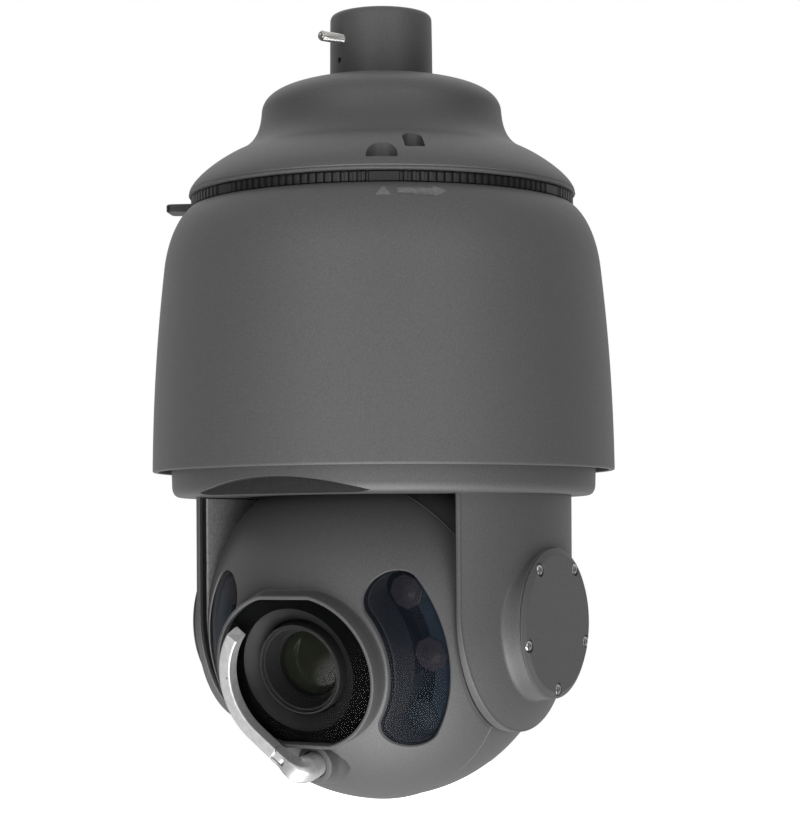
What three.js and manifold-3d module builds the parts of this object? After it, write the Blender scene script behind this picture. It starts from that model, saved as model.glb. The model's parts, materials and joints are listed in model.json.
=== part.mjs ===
// Outdoor pan-tilt-zoom camera with a ball head held between two yoke arms, hung from a threaded neck.
// Millimetres, +Z up. The origin is the middle of the neck's top face, on the pan axis.
// At rest the lens faces -Y and looks down by REST_TILT, and the tilt axis runs along X.
import * as THREE from 'three';
import { mergeVertices } from 'three/addons/utils/BufferGeometryUtils.js';
import Module from 'manifold-3d';

const wasm = await Module();
wasm.setup();

// ---------------------------------------------------------------- driving dimensions
const DEG = Math.PI / 180;
const FIT = 0.3; // gap kept between pieces that touch

const HOUSING_FRONT = -59.5; // bearing of the fixed housing's front marks, anticlockwise from +X
const NECK_RADIUS = 25.3;
const NECK_BORE = 19.5; // root of the female G 1 1/4 pipe thread
const CAP_RIM = { radius: 96.3, z: -91.4 };
const RING = { outer: 95.2, inner: 89.2, top: -91.7, bottom: -96.7 };
const PLATE_TOP = -97; // top of the housing and of the plate that closes it
const SKIRT = { radius: 115, z: -228 };
const CHASSIS_Z = -191; // underside of the chassis plate inside the housing

const BASE = { radius: 105.7, top: -224, bottom: -240.4, wall: 3 };
const TILT_AXIS_Z = -302.6;
const REST_TILT = 14.5; // degrees that the lens looks down at rest

const GEAR_MODULE = 3;
const RING_TEETH = 40;
const PINION_TEETH = 8;
const GEAR_CENTRES = GEAR_MODULE * (RING_TEETH + PINION_TEETH) / 2;

const ARM = { outer: 93.5, inner: 72.2, halfWidth: 57.2, arcCentre: 4.5, wall: 3.3 };
const HUB = { bossRoot: 39.5, bossRim: 36.4, cover: 36.2, coverFace: 33.2, bore: 28 };
const RIGHT_HUB_FACE = 97; // X of the two hub covers' outer faces
const LEFT_HUB_FACE = 92.9;
const HUB_SCREWS = { count: 5, circle: 31.7, head: 2.85, shank: 1.5, clearance: 1.9 };

const BALL = { radius: 88.3, wall: 3, flat: 70.5, seam: 31 }; // seam lies this far in front of the axis
const COLLAR = { radius: 38.6, offset: 4.7, flat: 37.6, front: 87.5 };
const OPENING = { radius: 36.7, offset: 4.7, flat: 35.6 };
const IR = { radius: 56, halfWidth: 10.65, halfAngle: 34.5 };
const SHAFT_RADIUS = 9;
const TILT_PULLEY_RADIUS = 18;
const MOTOR_PULLEY_RADIUS = 6;
const TILT_MOTOR_RISE = 38; // tilt motor's axis above the tilt axis

const WIPER = {
  pivotZ: -47.5, shaft: 6.2, hole: 6.8, back: 89, front: 95.8, width: 6.2,
  arcX: 1.5, arcZ: -3, arcRadius: 35.5, tip: 138.5, straight: 227.2, pinAt: 17.5, tongue: 3.2,
};

// ---------------------------------------------------------------- finishes
const finish = (color, roughness, metalness) => new THREE.MeshStandardMaterial({ color, roughness, metalness });
const PAINT = finish(0x5b5a5e, 0.55, 0.1);
const BLACK = finish(0x1c1c1e, 0.5, 0);
const RUBBER = finish(0x121212, 0.85, 0);
const STEEL = finish(0xb9b9b6, 0.3, 1);
const ALUMINIUM = finish(0xc4c5c8, 0.35, 1);
const GLASS = finish(0x0c0e10, 0.08, 0);
const BOARD = finish(0x1f5a3a, 0.6, 0);
const ACRYLIC = finish(0x4a3f46, 0.2, 0);

// ---------------------------------------------------------------- solids and booleans
function toSolid(geometry) {
  const bare = geometry.clone();
  bare.deleteAttribute('normal');
  bare.deleteAttribute('uv');
  const merged = mergeVertices(bare, 1e-4);
  const corners = merged.index.array;
  const points = merged.attributes.position;
  const triangles = [];
  const [a, b, c] = [new THREE.Vector3(), new THREE.Vector3(), new THREE.Vector3()];
  let volume = 0;
  for (let i = 0; i < corners.length; i += 3) {
    const [p, q, r] = [corners[i], corners[i + 1], corners[i + 2]];
    if (p === q || q === r || r === p) continue;
    triangles.push(p, q, r);
    a.fromBufferAttribute(points, p);
    b.fromBufferAttribute(points, q);
    c.fromBufferAttribute(points, r);
    volume += a.dot(b.cross(c));
  }
  if (volume < 0) triangles.reverse();
  const mesh = new wasm.Mesh({
    numProp: 3,
    vertProperties: new Float32Array(points.array),
    triVerts: new Uint32Array(triangles),
  });
  return new wasm.Manifold(mesh);
}

function toGeometry(solid) {
  const { vertProperties, triVerts } = solid.getMesh();
  const geometry = new THREE.BufferGeometry();
  geometry.setAttribute('position', new THREE.BufferAttribute(vertProperties, 3));
  geometry.setIndex(new THREE.BufferAttribute(triVerts, 1));
  geometry.computeVertexNormals();
  return geometry;
}

const combine = (step) => (first, ...others) =>
  toGeometry(others.reduce((body, other) => body[step](toSolid(other)), toSolid(first)));
const cut = combine('subtract');
const join = combine('add');
const keep = combine('intersect');

// ---------------------------------------------------------------- shapes
const box = (x0, x1, y0, y1, z0, z1) =>
  new THREE.BoxGeometry(x1 - x0, y1 - y0, z1 - z0).translate((x0 + x1) / 2, (y0 + y1) / 2, (z0 + z1) / 2);

// A profile of [radius, z] points turned about Z.
const turn = (profile, segments = 28) =>
  new THREE.LatheGeometry(profile.map(([radius, z]) => new THREE.Vector2(radius, z)), segments).rotateX(Math.PI / 2);

// A solid or hollow drum about Z.
function drum(radius, z0, z1, segments = 16, bore = 0) {
  if (bore === 0) return turn([[0, z0], [radius, z0], [radius, z1], [0, z1]], segments);
  return turn([[bore, z0], [radius, z0], [radius, z1], [bore, z1], [bore, z0]], segments);
}

const alongX = (geometry) => geometry.rotateY(Math.PI / 2);
const alongLens = (geometry) => geometry.rotateX(Math.PI / 2); // +Z goes to -Y, the way the lens looks

// Points on a cubic curve from p0 to p3, with the first left out so that curves follow on.
function curve(p0, p1, p2, p3, steps) {
  const path = new THREE.CubicBezierCurve(...[p0, p1, p2, p3].map((p) => new THREE.Vector2(...p)));
  return path.getPoints(steps).slice(1).map((p) => [p.x, p.y]);
}

const extrude = (shape, depth, curveSegments = 8) =>
  new THREE.ExtrudeGeometry(shape, { depth, bevelEnabled: false, curveSegments });

// A shape drawn in (y, z) and pushed along X.
function prismX(shape, x0, x1, curveSegments) {
  const axes = new THREE.Matrix4().makeBasis(
    new THREE.Vector3(0, 1, 0), new THREE.Vector3(0, 0, 1), new THREE.Vector3(1, 0, 0));
  return extrude(shape, x1 - x0, curveSegments).applyMatrix4(axes).translate(x0, 0, 0);
}

// A shape drawn in (x, z) as seen from in front and pushed from one depth to another towards the viewer.
const prismLens = (shape, near, far, curveSegments) =>
  extrude(shape, far - near, curveSegments).rotateX(Math.PI / 2).translate(0, -near, 0);

// Side arcs about (+-offset, 0), with the top and bottom cut flat.
function ovalShape({ radius, offset, flat }) {
  const end = Math.asin(Math.min(1, flat / radius));
  const shape = new THREE.Shape();
  shape.absarc(offset, 0, radius, -end, end, false);
  shape.absarc(-offset, 0, radius, Math.PI - end, Math.PI + end, false);
  shape.closePath();
  return shape;
}
const grow = ({ radius, offset, flat }, by) => ({ radius: radius + by, offset, flat: flat + by });

// A band of an annulus to the right of the lens, with round ends.
function bandShape(halfWidth) {
  const end = IR.halfAngle * DEG;
  const [x, z] = [IR.radius * Math.cos(end), IR.radius * Math.sin(end)];
  const shape = new THREE.Shape();
  shape.absarc(0, 0, IR.radius + halfWidth, -end, end, false);
  shape.absarc(x, z, halfWidth, end, end + Math.PI, false);
  shape.absarc(0, 0, IR.radius - halfWidth, end, -end, true);
  shape.absarc(x, -z, halfWidth, Math.PI - end, 2 * Math.PI - end, false);
  shape.closePath();
  return shape;
}

// The arm's outline: straight sides and a round bottom, z measured from the tilt axis.
const ARM_TOP = BASE.bottom - TILT_AXIS_Z;
function armShape(inset, topInset = inset) {
  const half = ARM.halfWidth - inset;
  const shape = new THREE.Shape();
  shape.moveTo(half, ARM_TOP - topInset);
  shape.lineTo(-half, ARM_TOP - topInset);
  shape.absarc(0, ARM.arcCentre, half, Math.PI, 2 * Math.PI, false);
  shape.closePath();
  return shape;
}

// A spur gear's outline with straight-sided teeth, the first tooth at the angle 'start'.
function gearShape(teeth, start) {
  const pitch = GEAR_MODULE * teeth / 2;
  const [root, tip] = [pitch - 0.95 * GEAR_MODULE, pitch + 0.65 * GEAR_MODULE];
  const step = 2 * Math.PI / teeth;
  const shape = new THREE.Shape();
  for (let tooth = 0; tooth < teeth; tooth++) {
    for (const [radius, offset] of [[root, -0.26], [tip, -0.12], [tip, 0.12], [root, 0.26]]) {
      const angle = start + (tooth + offset) * step;
      const point = [radius * Math.cos(angle), radius * Math.sin(angle)];
      if (tooth === 0 && offset === -0.26) shape.moveTo(...point);
      else shape.lineTo(...point);
    }
  }
  shape.closePath();
  return shape;
}

const circleShape = (radius) => new THREE.Shape().absarc(0, 0, radius, 0, 2 * Math.PI, false);
const withHole = (shape, hole) => {
  shape.holes.push(new THREE.Path(hole.getPoints(8)));
  return shape;
};

const ball = (radius, flat, y0, y1, segments = 28) =>
  keep(new THREE.SphereGeometry(radius, segments, segments / 2), box(-flat, flat, y0, y1, -radius - 1, radius + 1));

// ---------------------------------------------------------------- scene graph
const camera = new THREE.Group();
const pan = new THREE.Group();
const yoke = new THREE.Group();
const head = new THREE.Group();
yoke.position.z = TILT_AXIS_Z;
head.rotation.x = REST_TILT * DEG;
camera.add(pan);
pan.add(yoke);
yoke.add(head);

function put(parent, name, geometry, material) {
  const mesh = new THREE.Mesh(toGeometry(toSolid(geometry)), material);
  mesh.name = name;
  parent.add(mesh);
}

// ---------------------------------------------------------------- pendant cap and its neck
function screwAt(geometry, bearing, radius, z) {
  return geometry.rotateY(Math.PI / 2).translate(radius, 0, 0).rotateZ(bearing * DEG).translate(0, 0, z);
}
const SET_SCREW = { bearing: HOUSING_FRONT - 49.5, z: -15, inner: 17.5, outer: 39 };
const EARTH_HOLE = { bearing: HOUSING_FRONT - 54, z: -25 };

function pendantCap() {
  const body = turn([
    [NECK_BORE, 0],
    [NECK_RADIUS - 2.6, 0],
    ...curve([NECK_RADIUS - 2.6, 0], [NECK_RADIUS - 1, 0], [NECK_RADIUS, -1], [NECK_RADIUS, -2.6], 2),
    [NECK_RADIUS + 0.3, -33],
    ...curve([NECK_RADIUS + 0.3, -33], [49, -35.2], [59.8, -38.8], [59.8, -49], 4),
    ...curve([59.8, -49], [60.6, -60], [64.5, -66], [73, -69.8], 3),
    ...curve([73, -69.8], [82, -74], [94.8, -84], [CAP_RIM.radius, CAP_RIM.z + 1.2], 4),
    [CAP_RIM.radius - 0.8, CAP_RIM.z],
    [84, CAP_RIM.z],
    [84, -82],
    [69.5, -73],
    [58.5, -64],
    [56.6, -47],
    [50, -39.5],
    [NECK_BORE, -37],
    [NECK_BORE, 0],
  ]);
  // Half-round seat in the rim, and a slot beside it, both with level floors.
  const seat = drum(7.2, -85.3, -70, 14).translate(94, 0, 0).rotateZ(HOUSING_FRONT * DEG);
  const slot = join(drum(4.8, -80.5, -66, 10).translate(84, 0, 0), box(84, 100, -4.8, 4.8, -80.5, -66));
  return cut(
    body,
    seat,
    slot.rotateZ((HOUSING_FRONT + 11) * DEG),
    screwAt(drum(2.75, 0, 12, 12), SET_SCREW.bearing, 16, SET_SCREW.z),
    screwAt(drum(1.5, 0, 10, 8), EARTH_HOLE.bearing, NECK_RADIUS - 4, EARTH_HOLE.z),
  );
}

function socketScrew(radius, length, socket, depth) {
  const body = turn([
    [0, 0], [radius - 0.5, 0], [radius, 0.5], [radius, length - 0.4], [radius - 0.4, length], [0, length],
  ], 12);
  return cut(body, drum(socket, length - depth, length + 1, 6));
}

put(camera, 'pendant_cap', pendantCap(), PAINT);
put(camera, 'neck_set_screw',
  screwAt(socketScrew(2.5, SET_SCREW.outer - SET_SCREW.inner, 1.45, 3), SET_SCREW.bearing, SET_SCREW.inner, SET_SCREW.z),
  STEEL);
put(camera, 'cap_seal', drum(88.4, RING.bottom - 0.2, CAP_RIM.z - 0.1, 32, 84.4), RUBBER);

// ---------------------------------------------------------------- lock ring
function lockRing() {
  const bearing = (HOUSING_FRONT - 97) * DEG;
  const lever = new THREE.Shape();
  lever.moveTo(90.5, -8.5);
  lever.lineTo(105.5, -8.5);
  lever.absarc(105.5, -5.5, 3, -Math.PI / 2, 0, false);
  lever.absarc(105.5, 5.5, 3, 0, Math.PI / 2, false);
  lever.lineTo(90.5, 8.5);
  lever.closePath();
  const tab = extrude(lever, 3.9, 4).rotateZ(bearing).translate(0, 0, RING.bottom);
  return join(drum(RING.outer, RING.bottom, RING.top, 36, RING.inner), tab);
}
put(camera, 'lock_ring', lockRing(), BLACK);

// ---------------------------------------------------------------- fixed housing and what it holds
function upperHousing() {
  return turn([
    [93, PLATE_TOP],
    [95.6, PLATE_TOP],
    ...curve([95.6, PLATE_TOP], [102, -102], [107.3, -114], [108.8, -129], 4),
    ...curve([108.8, -129], [111, -149], [114.3, -180], [SKIRT.radius, SKIRT.z + 1.5], 3),
    [SKIRT.radius - 0.6, SKIRT.z],
    [112.3, SKIRT.z],
    [110.4, CHASSIS_Z - 0.5],
    [104, CHASSIS_Z - 3.5],
    [104, CHASSIS_Z],
    [110, CHASSIS_Z],
    [105.4, -129],
    [101, -112],
    [93, -101.5],
    [93, PLATE_TOP],
  ]);
}

function topPlate() {
  const plate = turn([
    [13.5, -100], [92.7, -100], [92.7, PLATE_TOP], [83.5, PLATE_TOP], [83.5, -88], [80, -88],
    [80, PLATE_TOP], [13.5, PLATE_TOP], [13.5, -100],
  ]);
  const drains = [];
  for (let i = 0; i < 4; i++) {
    drains.push(drum(2.2, -101, -96, 6).translate(60, 0, 0).rotateZ((i + 0.5) * Math.PI / 2));
  }
  return cut(plate, ...drains);
}

function inletConnector() {
  const shell = turn([
    [0, -104], [13.2, -104], [13.2, -96.8], [16, -96.8], [16, -94.8], [12, -94.8], [12, -86], [10.4, -86],
    [10.4, -93], [0, -93],
  ], 16);
  const pins = [];
  for (let i = 0; i < 4; i++) {
    pins.push(drum(0.9, -93.5, -87, 5).translate(6, 0, 0).rotateZ(i * Math.PI / 2));
  }
  return join(shell, ...pins);
}

const POST_PLACES = [[48, 34], [-48, 34], [-48, -34], [48, -34]];
const BOARD_Z = -150;
const BEARING = { outer: 26, inner: 20.3, z0: -191, z1: -183 };
function chassisPlate() {
  const plate = turn([
    [BEARING.outer, CHASSIS_Z], [103.7, CHASSIS_Z], [103.7, CHASSIS_Z + 3], [30, CHASSIS_Z + 3],
    [30, BEARING.z1 + 2], [20.8, BEARING.z1 + 2], [20.8, BEARING.z1], [BEARING.outer, BEARING.z1],
    [BEARING.outer, CHASSIS_Z],
  ]);
  const posts = POST_PLACES.map(([x, y]) => drum(3, CHASSIS_Z + 2, BOARD_Z, 6).translate(x, y, 0));
  return join(plate, ...posts);
}

function mainBoard() {
  const board = box(-56, 56, -42, 42, BOARD_Z, BOARD_Z + 1.6);
  const chips = [
    box(-14, 12, -12, 14, BOARD_Z + 1.5, BOARD_Z + 4),
    box(24, 40, -20, -6, BOARD_Z + 1.5, BOARD_Z + 3.5),
    box(-44, -28, 2, 22, BOARD_Z + 1.5, BOARD_Z + 9),
  ];
  return join(board, ...chips);
}

put(camera, 'upper_housing', upperHousing(), PAINT);
put(camera, 'top_plate', topPlate(), BLACK);
put(camera, 'inlet_connector', inletConnector(), BLACK);
put(camera, 'chassis_plate', chassisPlate(), ALUMINIUM);
put(camera, 'main_board', mainBoard(), BOARD);
put(camera, 'pan_bearing', drum(BEARING.outer - 0.2, BEARING.z0, BEARING.z1, 28, BEARING.inner), STEEL);
put(camera, 'slip_ring_stator', drum(12.5, -172, -152.5, 24), BLACK);

// The fixed gear has a gap between teeth where the pinion's tooth comes in, behind the pan axis.
const gearGap = Math.PI / 2 + Math.PI / RING_TEETH;
put(camera, 'pan_fixed_gear',
  extrude(withHole(gearShape(RING_TEETH, gearGap), circleShape(50)), 6, 8).translate(0, 0, CHASSIS_Z - 6), BLACK);

// ---------------------------------------------------------------- pan base, spindle and pan drive
const domeZ = (radius, sphere) => TILT_AXIS_Z + Math.sqrt(sphere * sphere - radius * radius);
function domeArc(sphere, from, to, steps) {
  const points = [];
  for (let i = 0; i <= steps; i++) {
    const radius = from + (to - from) * i / steps;
    points.push([radius, domeZ(radius, sphere)]);
  }
  return points;
}

const SPINDLE_FLOOR = -209.5;
function panBase() {
  const clear = 91; // the ball turns inside this radius
  const rimBore = Math.sqrt(clear * clear - ARM_TOP * ARM_TOP);
  const body = turn([
    [BASE.radius, BASE.top],
    [BASE.radius - 0.5, BASE.bottom + 4],
    ...curve([BASE.radius - 0.5, BASE.bottom + 4], [BASE.radius - 0.6, BASE.bottom + 1.6],
      [BASE.radius - 2.2, BASE.bottom], [BASE.radius - 4.6, BASE.bottom], 3),
    ...domeArc(clear, rimBore, 14, 4),
    [14, SPINDLE_FLOOR],
    [22, SPINDLE_FLOOR],
    ...domeArc(clear + BASE.wall, 24, 66, 3),
    [70, BASE.bottom + BASE.wall],
    [BASE.radius - 4.5, BASE.bottom + BASE.wall],
    [BASE.radius - BASE.wall, BASE.top],
    [BASE.radius, BASE.top],
  ], 32);
  const motorPad = cut(
    drum(17.5, BASE.bottom + 1, -223.8, 16).translate(0, GEAR_CENTRES, 0),
    new THREE.SphereGeometry(clear + 0.5, 24, 16).translate(0, 0, TILT_AXIS_Z),
  );
  const arch = new THREE.Shape(); // scallop over the lens
  const [halfSpan, rise] = [51, 8];
  const archRadius = (halfSpan * halfSpan + rise * rise) / (2 * rise);
  const spread = Math.asin(halfSpan / archRadius);
  arch.moveTo(-halfSpan, -3);
  arch.lineTo(halfSpan, -3);
  arch.absarc(0, rise - archRadius, archRadius, Math.PI / 2 - spread, Math.PI / 2 + spread, false);
  arch.closePath();
  const recess = BASE.radius - 10;
  const scallop = cut(prismLens(arch, 70, 112, 8).translate(0, 0, BASE.bottom),
    drum(recess, BASE.bottom - 4, BASE.top, 48));
  // The scallop is backed by a wall of the same thickness as the base.
  const hoodShape = new THREE.Shape();
  hoodShape.moveTo(-58, 0);
  hoodShape.lineTo(58, 0);
  hoodShape.lineTo(58, 12);
  hoodShape.lineTo(-58, 12);
  hoodShape.closePath();
  const hood = keep(prismLens(hoodShape, 70, 112, 4).translate(0, 0, BASE.bottom),
    drum(recess, BASE.bottom - 1, BASE.top, 48, recess - BASE.wall));
  return cut(join(body, motorPad, hood), scallop);
}

put(pan, 'pan_base', panBase(), PAINT);
put(pan, 'pan_spindle', turn([
  [15, SPINDLE_FLOOR], [22, SPINDLE_FLOOR], [22, SPINDLE_FLOOR + 3], [20, SPINDLE_FLOOR + 3], [20, -176],
  [15, -176], [15, SPINDLE_FLOOR],
], 20), STEEL);
put(pan, 'slip_ring_rotor', turn([
  [0, -204], [14.7, -204], [14.7, -184], [6, -184], [6, -172.5], [0, -172.5],
], 16), BLACK);
put(pan, 'pan_motor', turn([
  [0, -223.5], [17.5, -223.5], [17.5, -202], [2.5, -202], [2.5, -191.5], [0, -191.5],
], 16).translate(0, GEAR_CENTRES, 0), STEEL);
put(pan, 'pan_pinion',
  extrude(withHole(gearShape(PINION_TEETH, Math.PI / 2), circleShape(2.8)), 5.4, 12)
    .translate(0, GEAR_CENTRES, CHASSIS_Z - 5.7), STEEL);

// ---------------------------------------------------------------- yoke arms and hub covers
// Round about Z above the tilt axis and a ball below it.
function armEnvelope(radius) {
  const bottom = [];
  for (let i = 0; i <= 7; i++) {
    const angle = (i / 7 - 1) * Math.PI / 2;
    bottom.push([i === 0 ? 0 : radius * Math.cos(angle), radius * Math.sin(angle)]);
  }
  return turn([...bottom, [radius, ARM_TOP], [0, ARM_TOP]], 36);
}

const screwAngles = [];
for (let i = 0; i < HUB_SCREWS.count; i++) screwAngles.push((2 * i / HUB_SCREWS.count - 0.5) * Math.PI);

// A drum along X on the hub's bolt circle.
const onBoltCircle = (geometry, angle) =>
  alongX(geometry).translate(0, HUB_SCREWS.circle * Math.cos(angle), HUB_SCREWS.circle * Math.sin(angle));

function arm(hubFace, screwed) {
  const bossTop = hubFace - 2.5;
  const boss = alongX(turn([[0, 78], [HUB.bossRoot, 78], [HUB.bossRoot, 84], [HUB.bossRim, bossTop], [0, bossTop]]));
  const shell = join(keep(prismX(armShape(0), ARM.inner, 100, 12), armEnvelope(ARM.outer)), boss);
  const pocket = keep(prismX(armShape(10), ARM.inner - 1, 100, 8), armEnvelope(ARM.outer - ARM.wall));
  const seat = prismX(armShape(2.4, -1), ARM.inner - 1, ARM.inner + 2.4, 12);
  const holes = screwed ? screwAngles.map((angle) => onBoltCircle(drum(HUB_SCREWS.clearance, 84, 96, 6), angle)) : [];
  const coverSeat = alongX(drum(HUB.bossRim, bossTop, 100, 28));
  return cut(shell, seat, pocket, coverSeat, alongX(drum(HUB.bore, 78, 100, 24)), ...holes);
}

function hubCover(hubFace, screwed) {
  const inner = hubFace - 2.2;
  const plate = alongX(turn([
    [0, inner - 2], [HUB.bore - 0.3, inner - 2], [HUB.bore - 0.3, inner], [HUB.cover, inner],
    [HUB.cover, inner + 0.7], [HUB.coverFace, hubFace], [0, hubFace],
  ]));
  if (!screwed) return plate;
  const recesses = screwAngles.flatMap((angle) => [
    onBoltCircle(drum(HUB_SCREWS.clearance, inner - 3, hubFace + 1, 6), angle),
    onBoltCircle(drum(HUB_SCREWS.head + 0.45, hubFace - 1.7, hubFace + 1, 10), angle),
  ]);
  return cut(plate, ...recesses);
}

function hubScrew(hubFace, angle) {
  const seat = hubFace - 1.6;
  const body = turn([
    [0, seat - 9], [HUB_SCREWS.shank, seat - 9], [HUB_SCREWS.shank, seat], [HUB_SCREWS.head, seat],
    [HUB_SCREWS.head - 1, seat + 1.6], [0, seat + 1.6],
  ], 10);
  return onBoltCircle(cut(body, drum(1.15, seat + 0.4, seat + 3, 6)), angle);
}

const TILT_BEARING = { outer: 15, inner: SHAFT_RADIUS + FIT, x0: 74.6, x1: 79.6 };
function armCover() {
  const plate = prismX(armShape(7.4, FIT), ARM.inner, ARM.inner + 2, 12);
  const seat = alongX(drum(TILT_BEARING.outer + 4, ARM.inner + 1, TILT_BEARING.x1, 24));
  return cut(join(plate, seat), alongX(drum(TILT_BEARING.outer + 0.1, TILT_BEARING.x0 - 0.1, 90, 20)),
    alongX(drum(SHAFT_RADIUS + 0.9, 60, 90, 20)));
}
// Runs down one side, round the bottom and up the other. The base closes the top.
const armGasket = () => cut(
  prismX(armShape(2.8, FIT), ARM.inner + 1, ARM.inner + 2.2, 12),
  prismX(armShape(7.1, -1), ARM.inner, ARM.inner + 3, 12),
);
const tiltBearing = () => alongX(drum(TILT_BEARING.outer, TILT_BEARING.x0, TILT_BEARING.x1, 20, TILT_BEARING.inner));

const mirror = (geometry) => toGeometry(toSolid(geometry.scale(-1, 1, 1)));
for (const [side, hubFace] of [['right', RIGHT_HUB_FACE], ['left', LEFT_HUB_FACE]]) {
  const screwed = side === 'right';
  const hand = screwed ? (geometry) => geometry : mirror;
  put(yoke, `${side}_arm`, hand(arm(hubFace, screwed)), PAINT);
  put(yoke, `${side}_arm_cover`, hand(armCover()), PAINT);
  put(yoke, `${side}_arm_gasket`, hand(armGasket()), RUBBER);
  put(yoke, `${side}_hub_cover`, hand(hubCover(hubFace, screwed)), PAINT);
  put(yoke, `${side}_tilt_bearing`, hand(tiltBearing()), STEEL);
}
screwAngles.forEach((angle, i) => put(yoke, `hub_screw_${i + 1}`, hubScrew(RIGHT_HUB_FACE, angle), STEEL));

// ---------------------------------------------------------------- tilt drive in the right arm
const DRIVE = { x0: 82.2, x1: 86.2 };
put(yoke, 'tilt_motor', alongX(turn([
  [0, 74.8], [14, 74.8], [14, 81.6], [2, 81.6], [2, DRIVE.x1], [0, DRIVE.x1],
], 16)).translate(0, 0, TILT_MOTOR_RISE), STEEL);
put(yoke, 'tilt_motor_pulley',
  alongX(drum(MOTOR_PULLEY_RADIUS, DRIVE.x0, DRIVE.x1, 14, 2.3)).translate(0, 0, TILT_MOTOR_RISE), ALUMINIUM);

function tiltBelt() {
  const lean = Math.asin((TILT_PULLEY_RADIUS - MOTOR_PULLEY_RADIUS) / TILT_MOTOR_RISE);
  const loop = (extra) => {
    const shape = new THREE.Shape();
    shape.absarc(0, 0, TILT_PULLEY_RADIUS + extra, Math.PI - lean, 2 * Math.PI + lean, false);
    shape.absarc(0, TILT_MOTOR_RISE, MOTOR_PULLEY_RADIUS + extra, lean, Math.PI - lean, false);
    shape.closePath();
    return shape;
  };
  return prismX(withHole(loop(1.5), loop(FIT)), DRIVE.x0 + 0.3, DRIVE.x1 - 0.3, 12);
}
put(yoke, 'tilt_belt', tiltBelt(), RUBBER);

// ---------------------------------------------------------------- head shells
const wiperPivot = (geometry) => alongLens(geometry).translate(0, 0, WIPER.pivotZ);

function frontShell() {
  const { radius, wall, flat, seam } = BALL;
  const skin = cut(ball(radius, flat, -radius - 1, -seam - 0.2), ball(radius - wall, flat - wall, -radius, 0, 20));
  const collar = prismLens(ovalShape(COLLAR), 74, COLLAR.front, 12);
  const boss = wiperPivot(turn([[0, 70], [12.5, 70], [12.5, 74], [9.3, 81], [0, 81]], 20));
  const slot = () => prismLens(bandShape(IR.halfWidth + FIT), 30, 90, 6);
  return cut(
    join(skin, collar, boss),
    prismLens(ovalShape(grow(OPENING, -3.4)), 60, 90, 12),
    prismLens(ovalShape(OPENING), 82.6, 90, 12),
    wiperPivot(drum(WIPER.hole, 60, 90, 16)),
    slot(),
    mirror(slot()),
  );
}

function rearShell() {
  const { radius, wall, flat, seam } = BALL;
  const skin = cut(ball(radius - 0.3, flat, -seam + 0.2, radius + 1), ball(radius - wall, flat - wall, -radius, radius, 20));
  return cut(skin, alongX(drum(SHAFT_RADIUS + 0.4, -90, 90, 20)));
}

// A band inside the seam between the two shells.
function shellSeal() {
  const outline = (radius, flat) => {
    const end = Math.acos(flat / radius);
    const shape = new THREE.Shape();
    shape.absarc(0, 0, radius, end, Math.PI - end, false);
    shape.absarc(0, 0, radius, Math.PI + end, 2 * Math.PI - end, false);
    shape.closePath();
    return shape;
  };
  const seam = BALL.seam;
  return prismLens(withHole(outline(75.8, 66.8), outline(73.8, 65)), seam - 2.5, seam + 2.5, 8);
}

function irWindow() {
  const { radius, wall, flat } = BALL;
  const curved = cut(ball(radius - 0.2, flat, -radius, 0), ball(radius - wall + 0.3, flat + 1, -radius, 1));
  return keep(curved, prismLens(bandShape(IR.halfWidth), 30, 90, 6));
}

function irLens() {
  const plate = prismLens(bandShape(IR.halfWidth - 0.9), 42.3, 44, 4);
  const cups = [-1, 0, 1].map((place) => {
    const angle = place * 33 * DEG;
    const cup = turn([[0, 43], [6.5, 43], [9, 52], [9, 54], [7.5, 54], [5, 50], [0, 50]], 10);
    return alongLens(cup).translate(IR.radius * Math.cos(angle), 0, IR.radius * Math.sin(angle));
  });
  return join(plate, ...cups);
}
const irBoard = () => prismLens(bandShape(IR.halfWidth - 0.9), 40.4, 42, 4);

put(head, 'front_shell', frontShell(), PAINT);
put(head, 'rear_shell', rearShell(), PAINT);
put(head, 'shell_seal', shellSeal(), RUBBER);
for (const [side, hand] of [['right', (geometry) => geometry], ['left', mirror]]) {
  put(head, `ir_window_${side}`, hand(irWindow()), GLASS);
  put(head, `ir_lens_${side}`, hand(irLens()), ACRYLIC);
  put(head, `ir_board_${side}`, hand(irBoard()), BOARD);
}

// ---------------------------------------------------------------- window, lens and camera block
put(head, 'window_glass', prismLens(ovalShape(grow(OPENING, -FIT)), 84, 87.4, 12), GLASS);
put(head, 'window_gasket',
  prismLens(withHole(ovalShape(grow(OPENING, -FIT)), circleShape(32.4)), 82.9, 83.7, 8), RUBBER);
put(head, 'lens_baffle', alongLens(turn([
  [30.8, 82.6], [31.8, 82.6], [31.8, 81.8], [24.4, 78], [24.4, 70], [23.4, 70], [23.4, 78.4], [30.8, 82.6],
], 24)), BLACK);
put(head, 'lens_barrel', alongLens(turn([
  [0, 50.3], [22.3, 50.3], [22.3, 82], [21.3, 82.8], [19.6, 82.8], [16.6, 77], [16.6, 68], [0, 68],
], 24)), BLACK);
put(head, 'front_lens', alongLens(turn([
  [0, 68.3], [16.2, 68.3], [16.2, 70.5], [12, 72.3], [6, 73.5], [0, 73.9],
], 20)), GLASS);
put(head, 'camera_block', join(box(-24, 24, -50, 20, -22, 26), box(-14, 14, 19, 30, -12, 16)), BLACK);

function cameraBracket() {
  const floor = box(-64.2, 64.2, -30, 15, -25, -22.3);
  const sides = [-1, 1].map((side) => {
    const [x0, x1] = side < 0 ? [-64.2, -61.7] : [61.7, 64.2];
    return box(x0, x1, -20, 15, -24, 17);
  });
  return join(floor, ...sides);
}
put(head, 'camera_bracket', cameraBracket(), ALUMINIUM);

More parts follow.
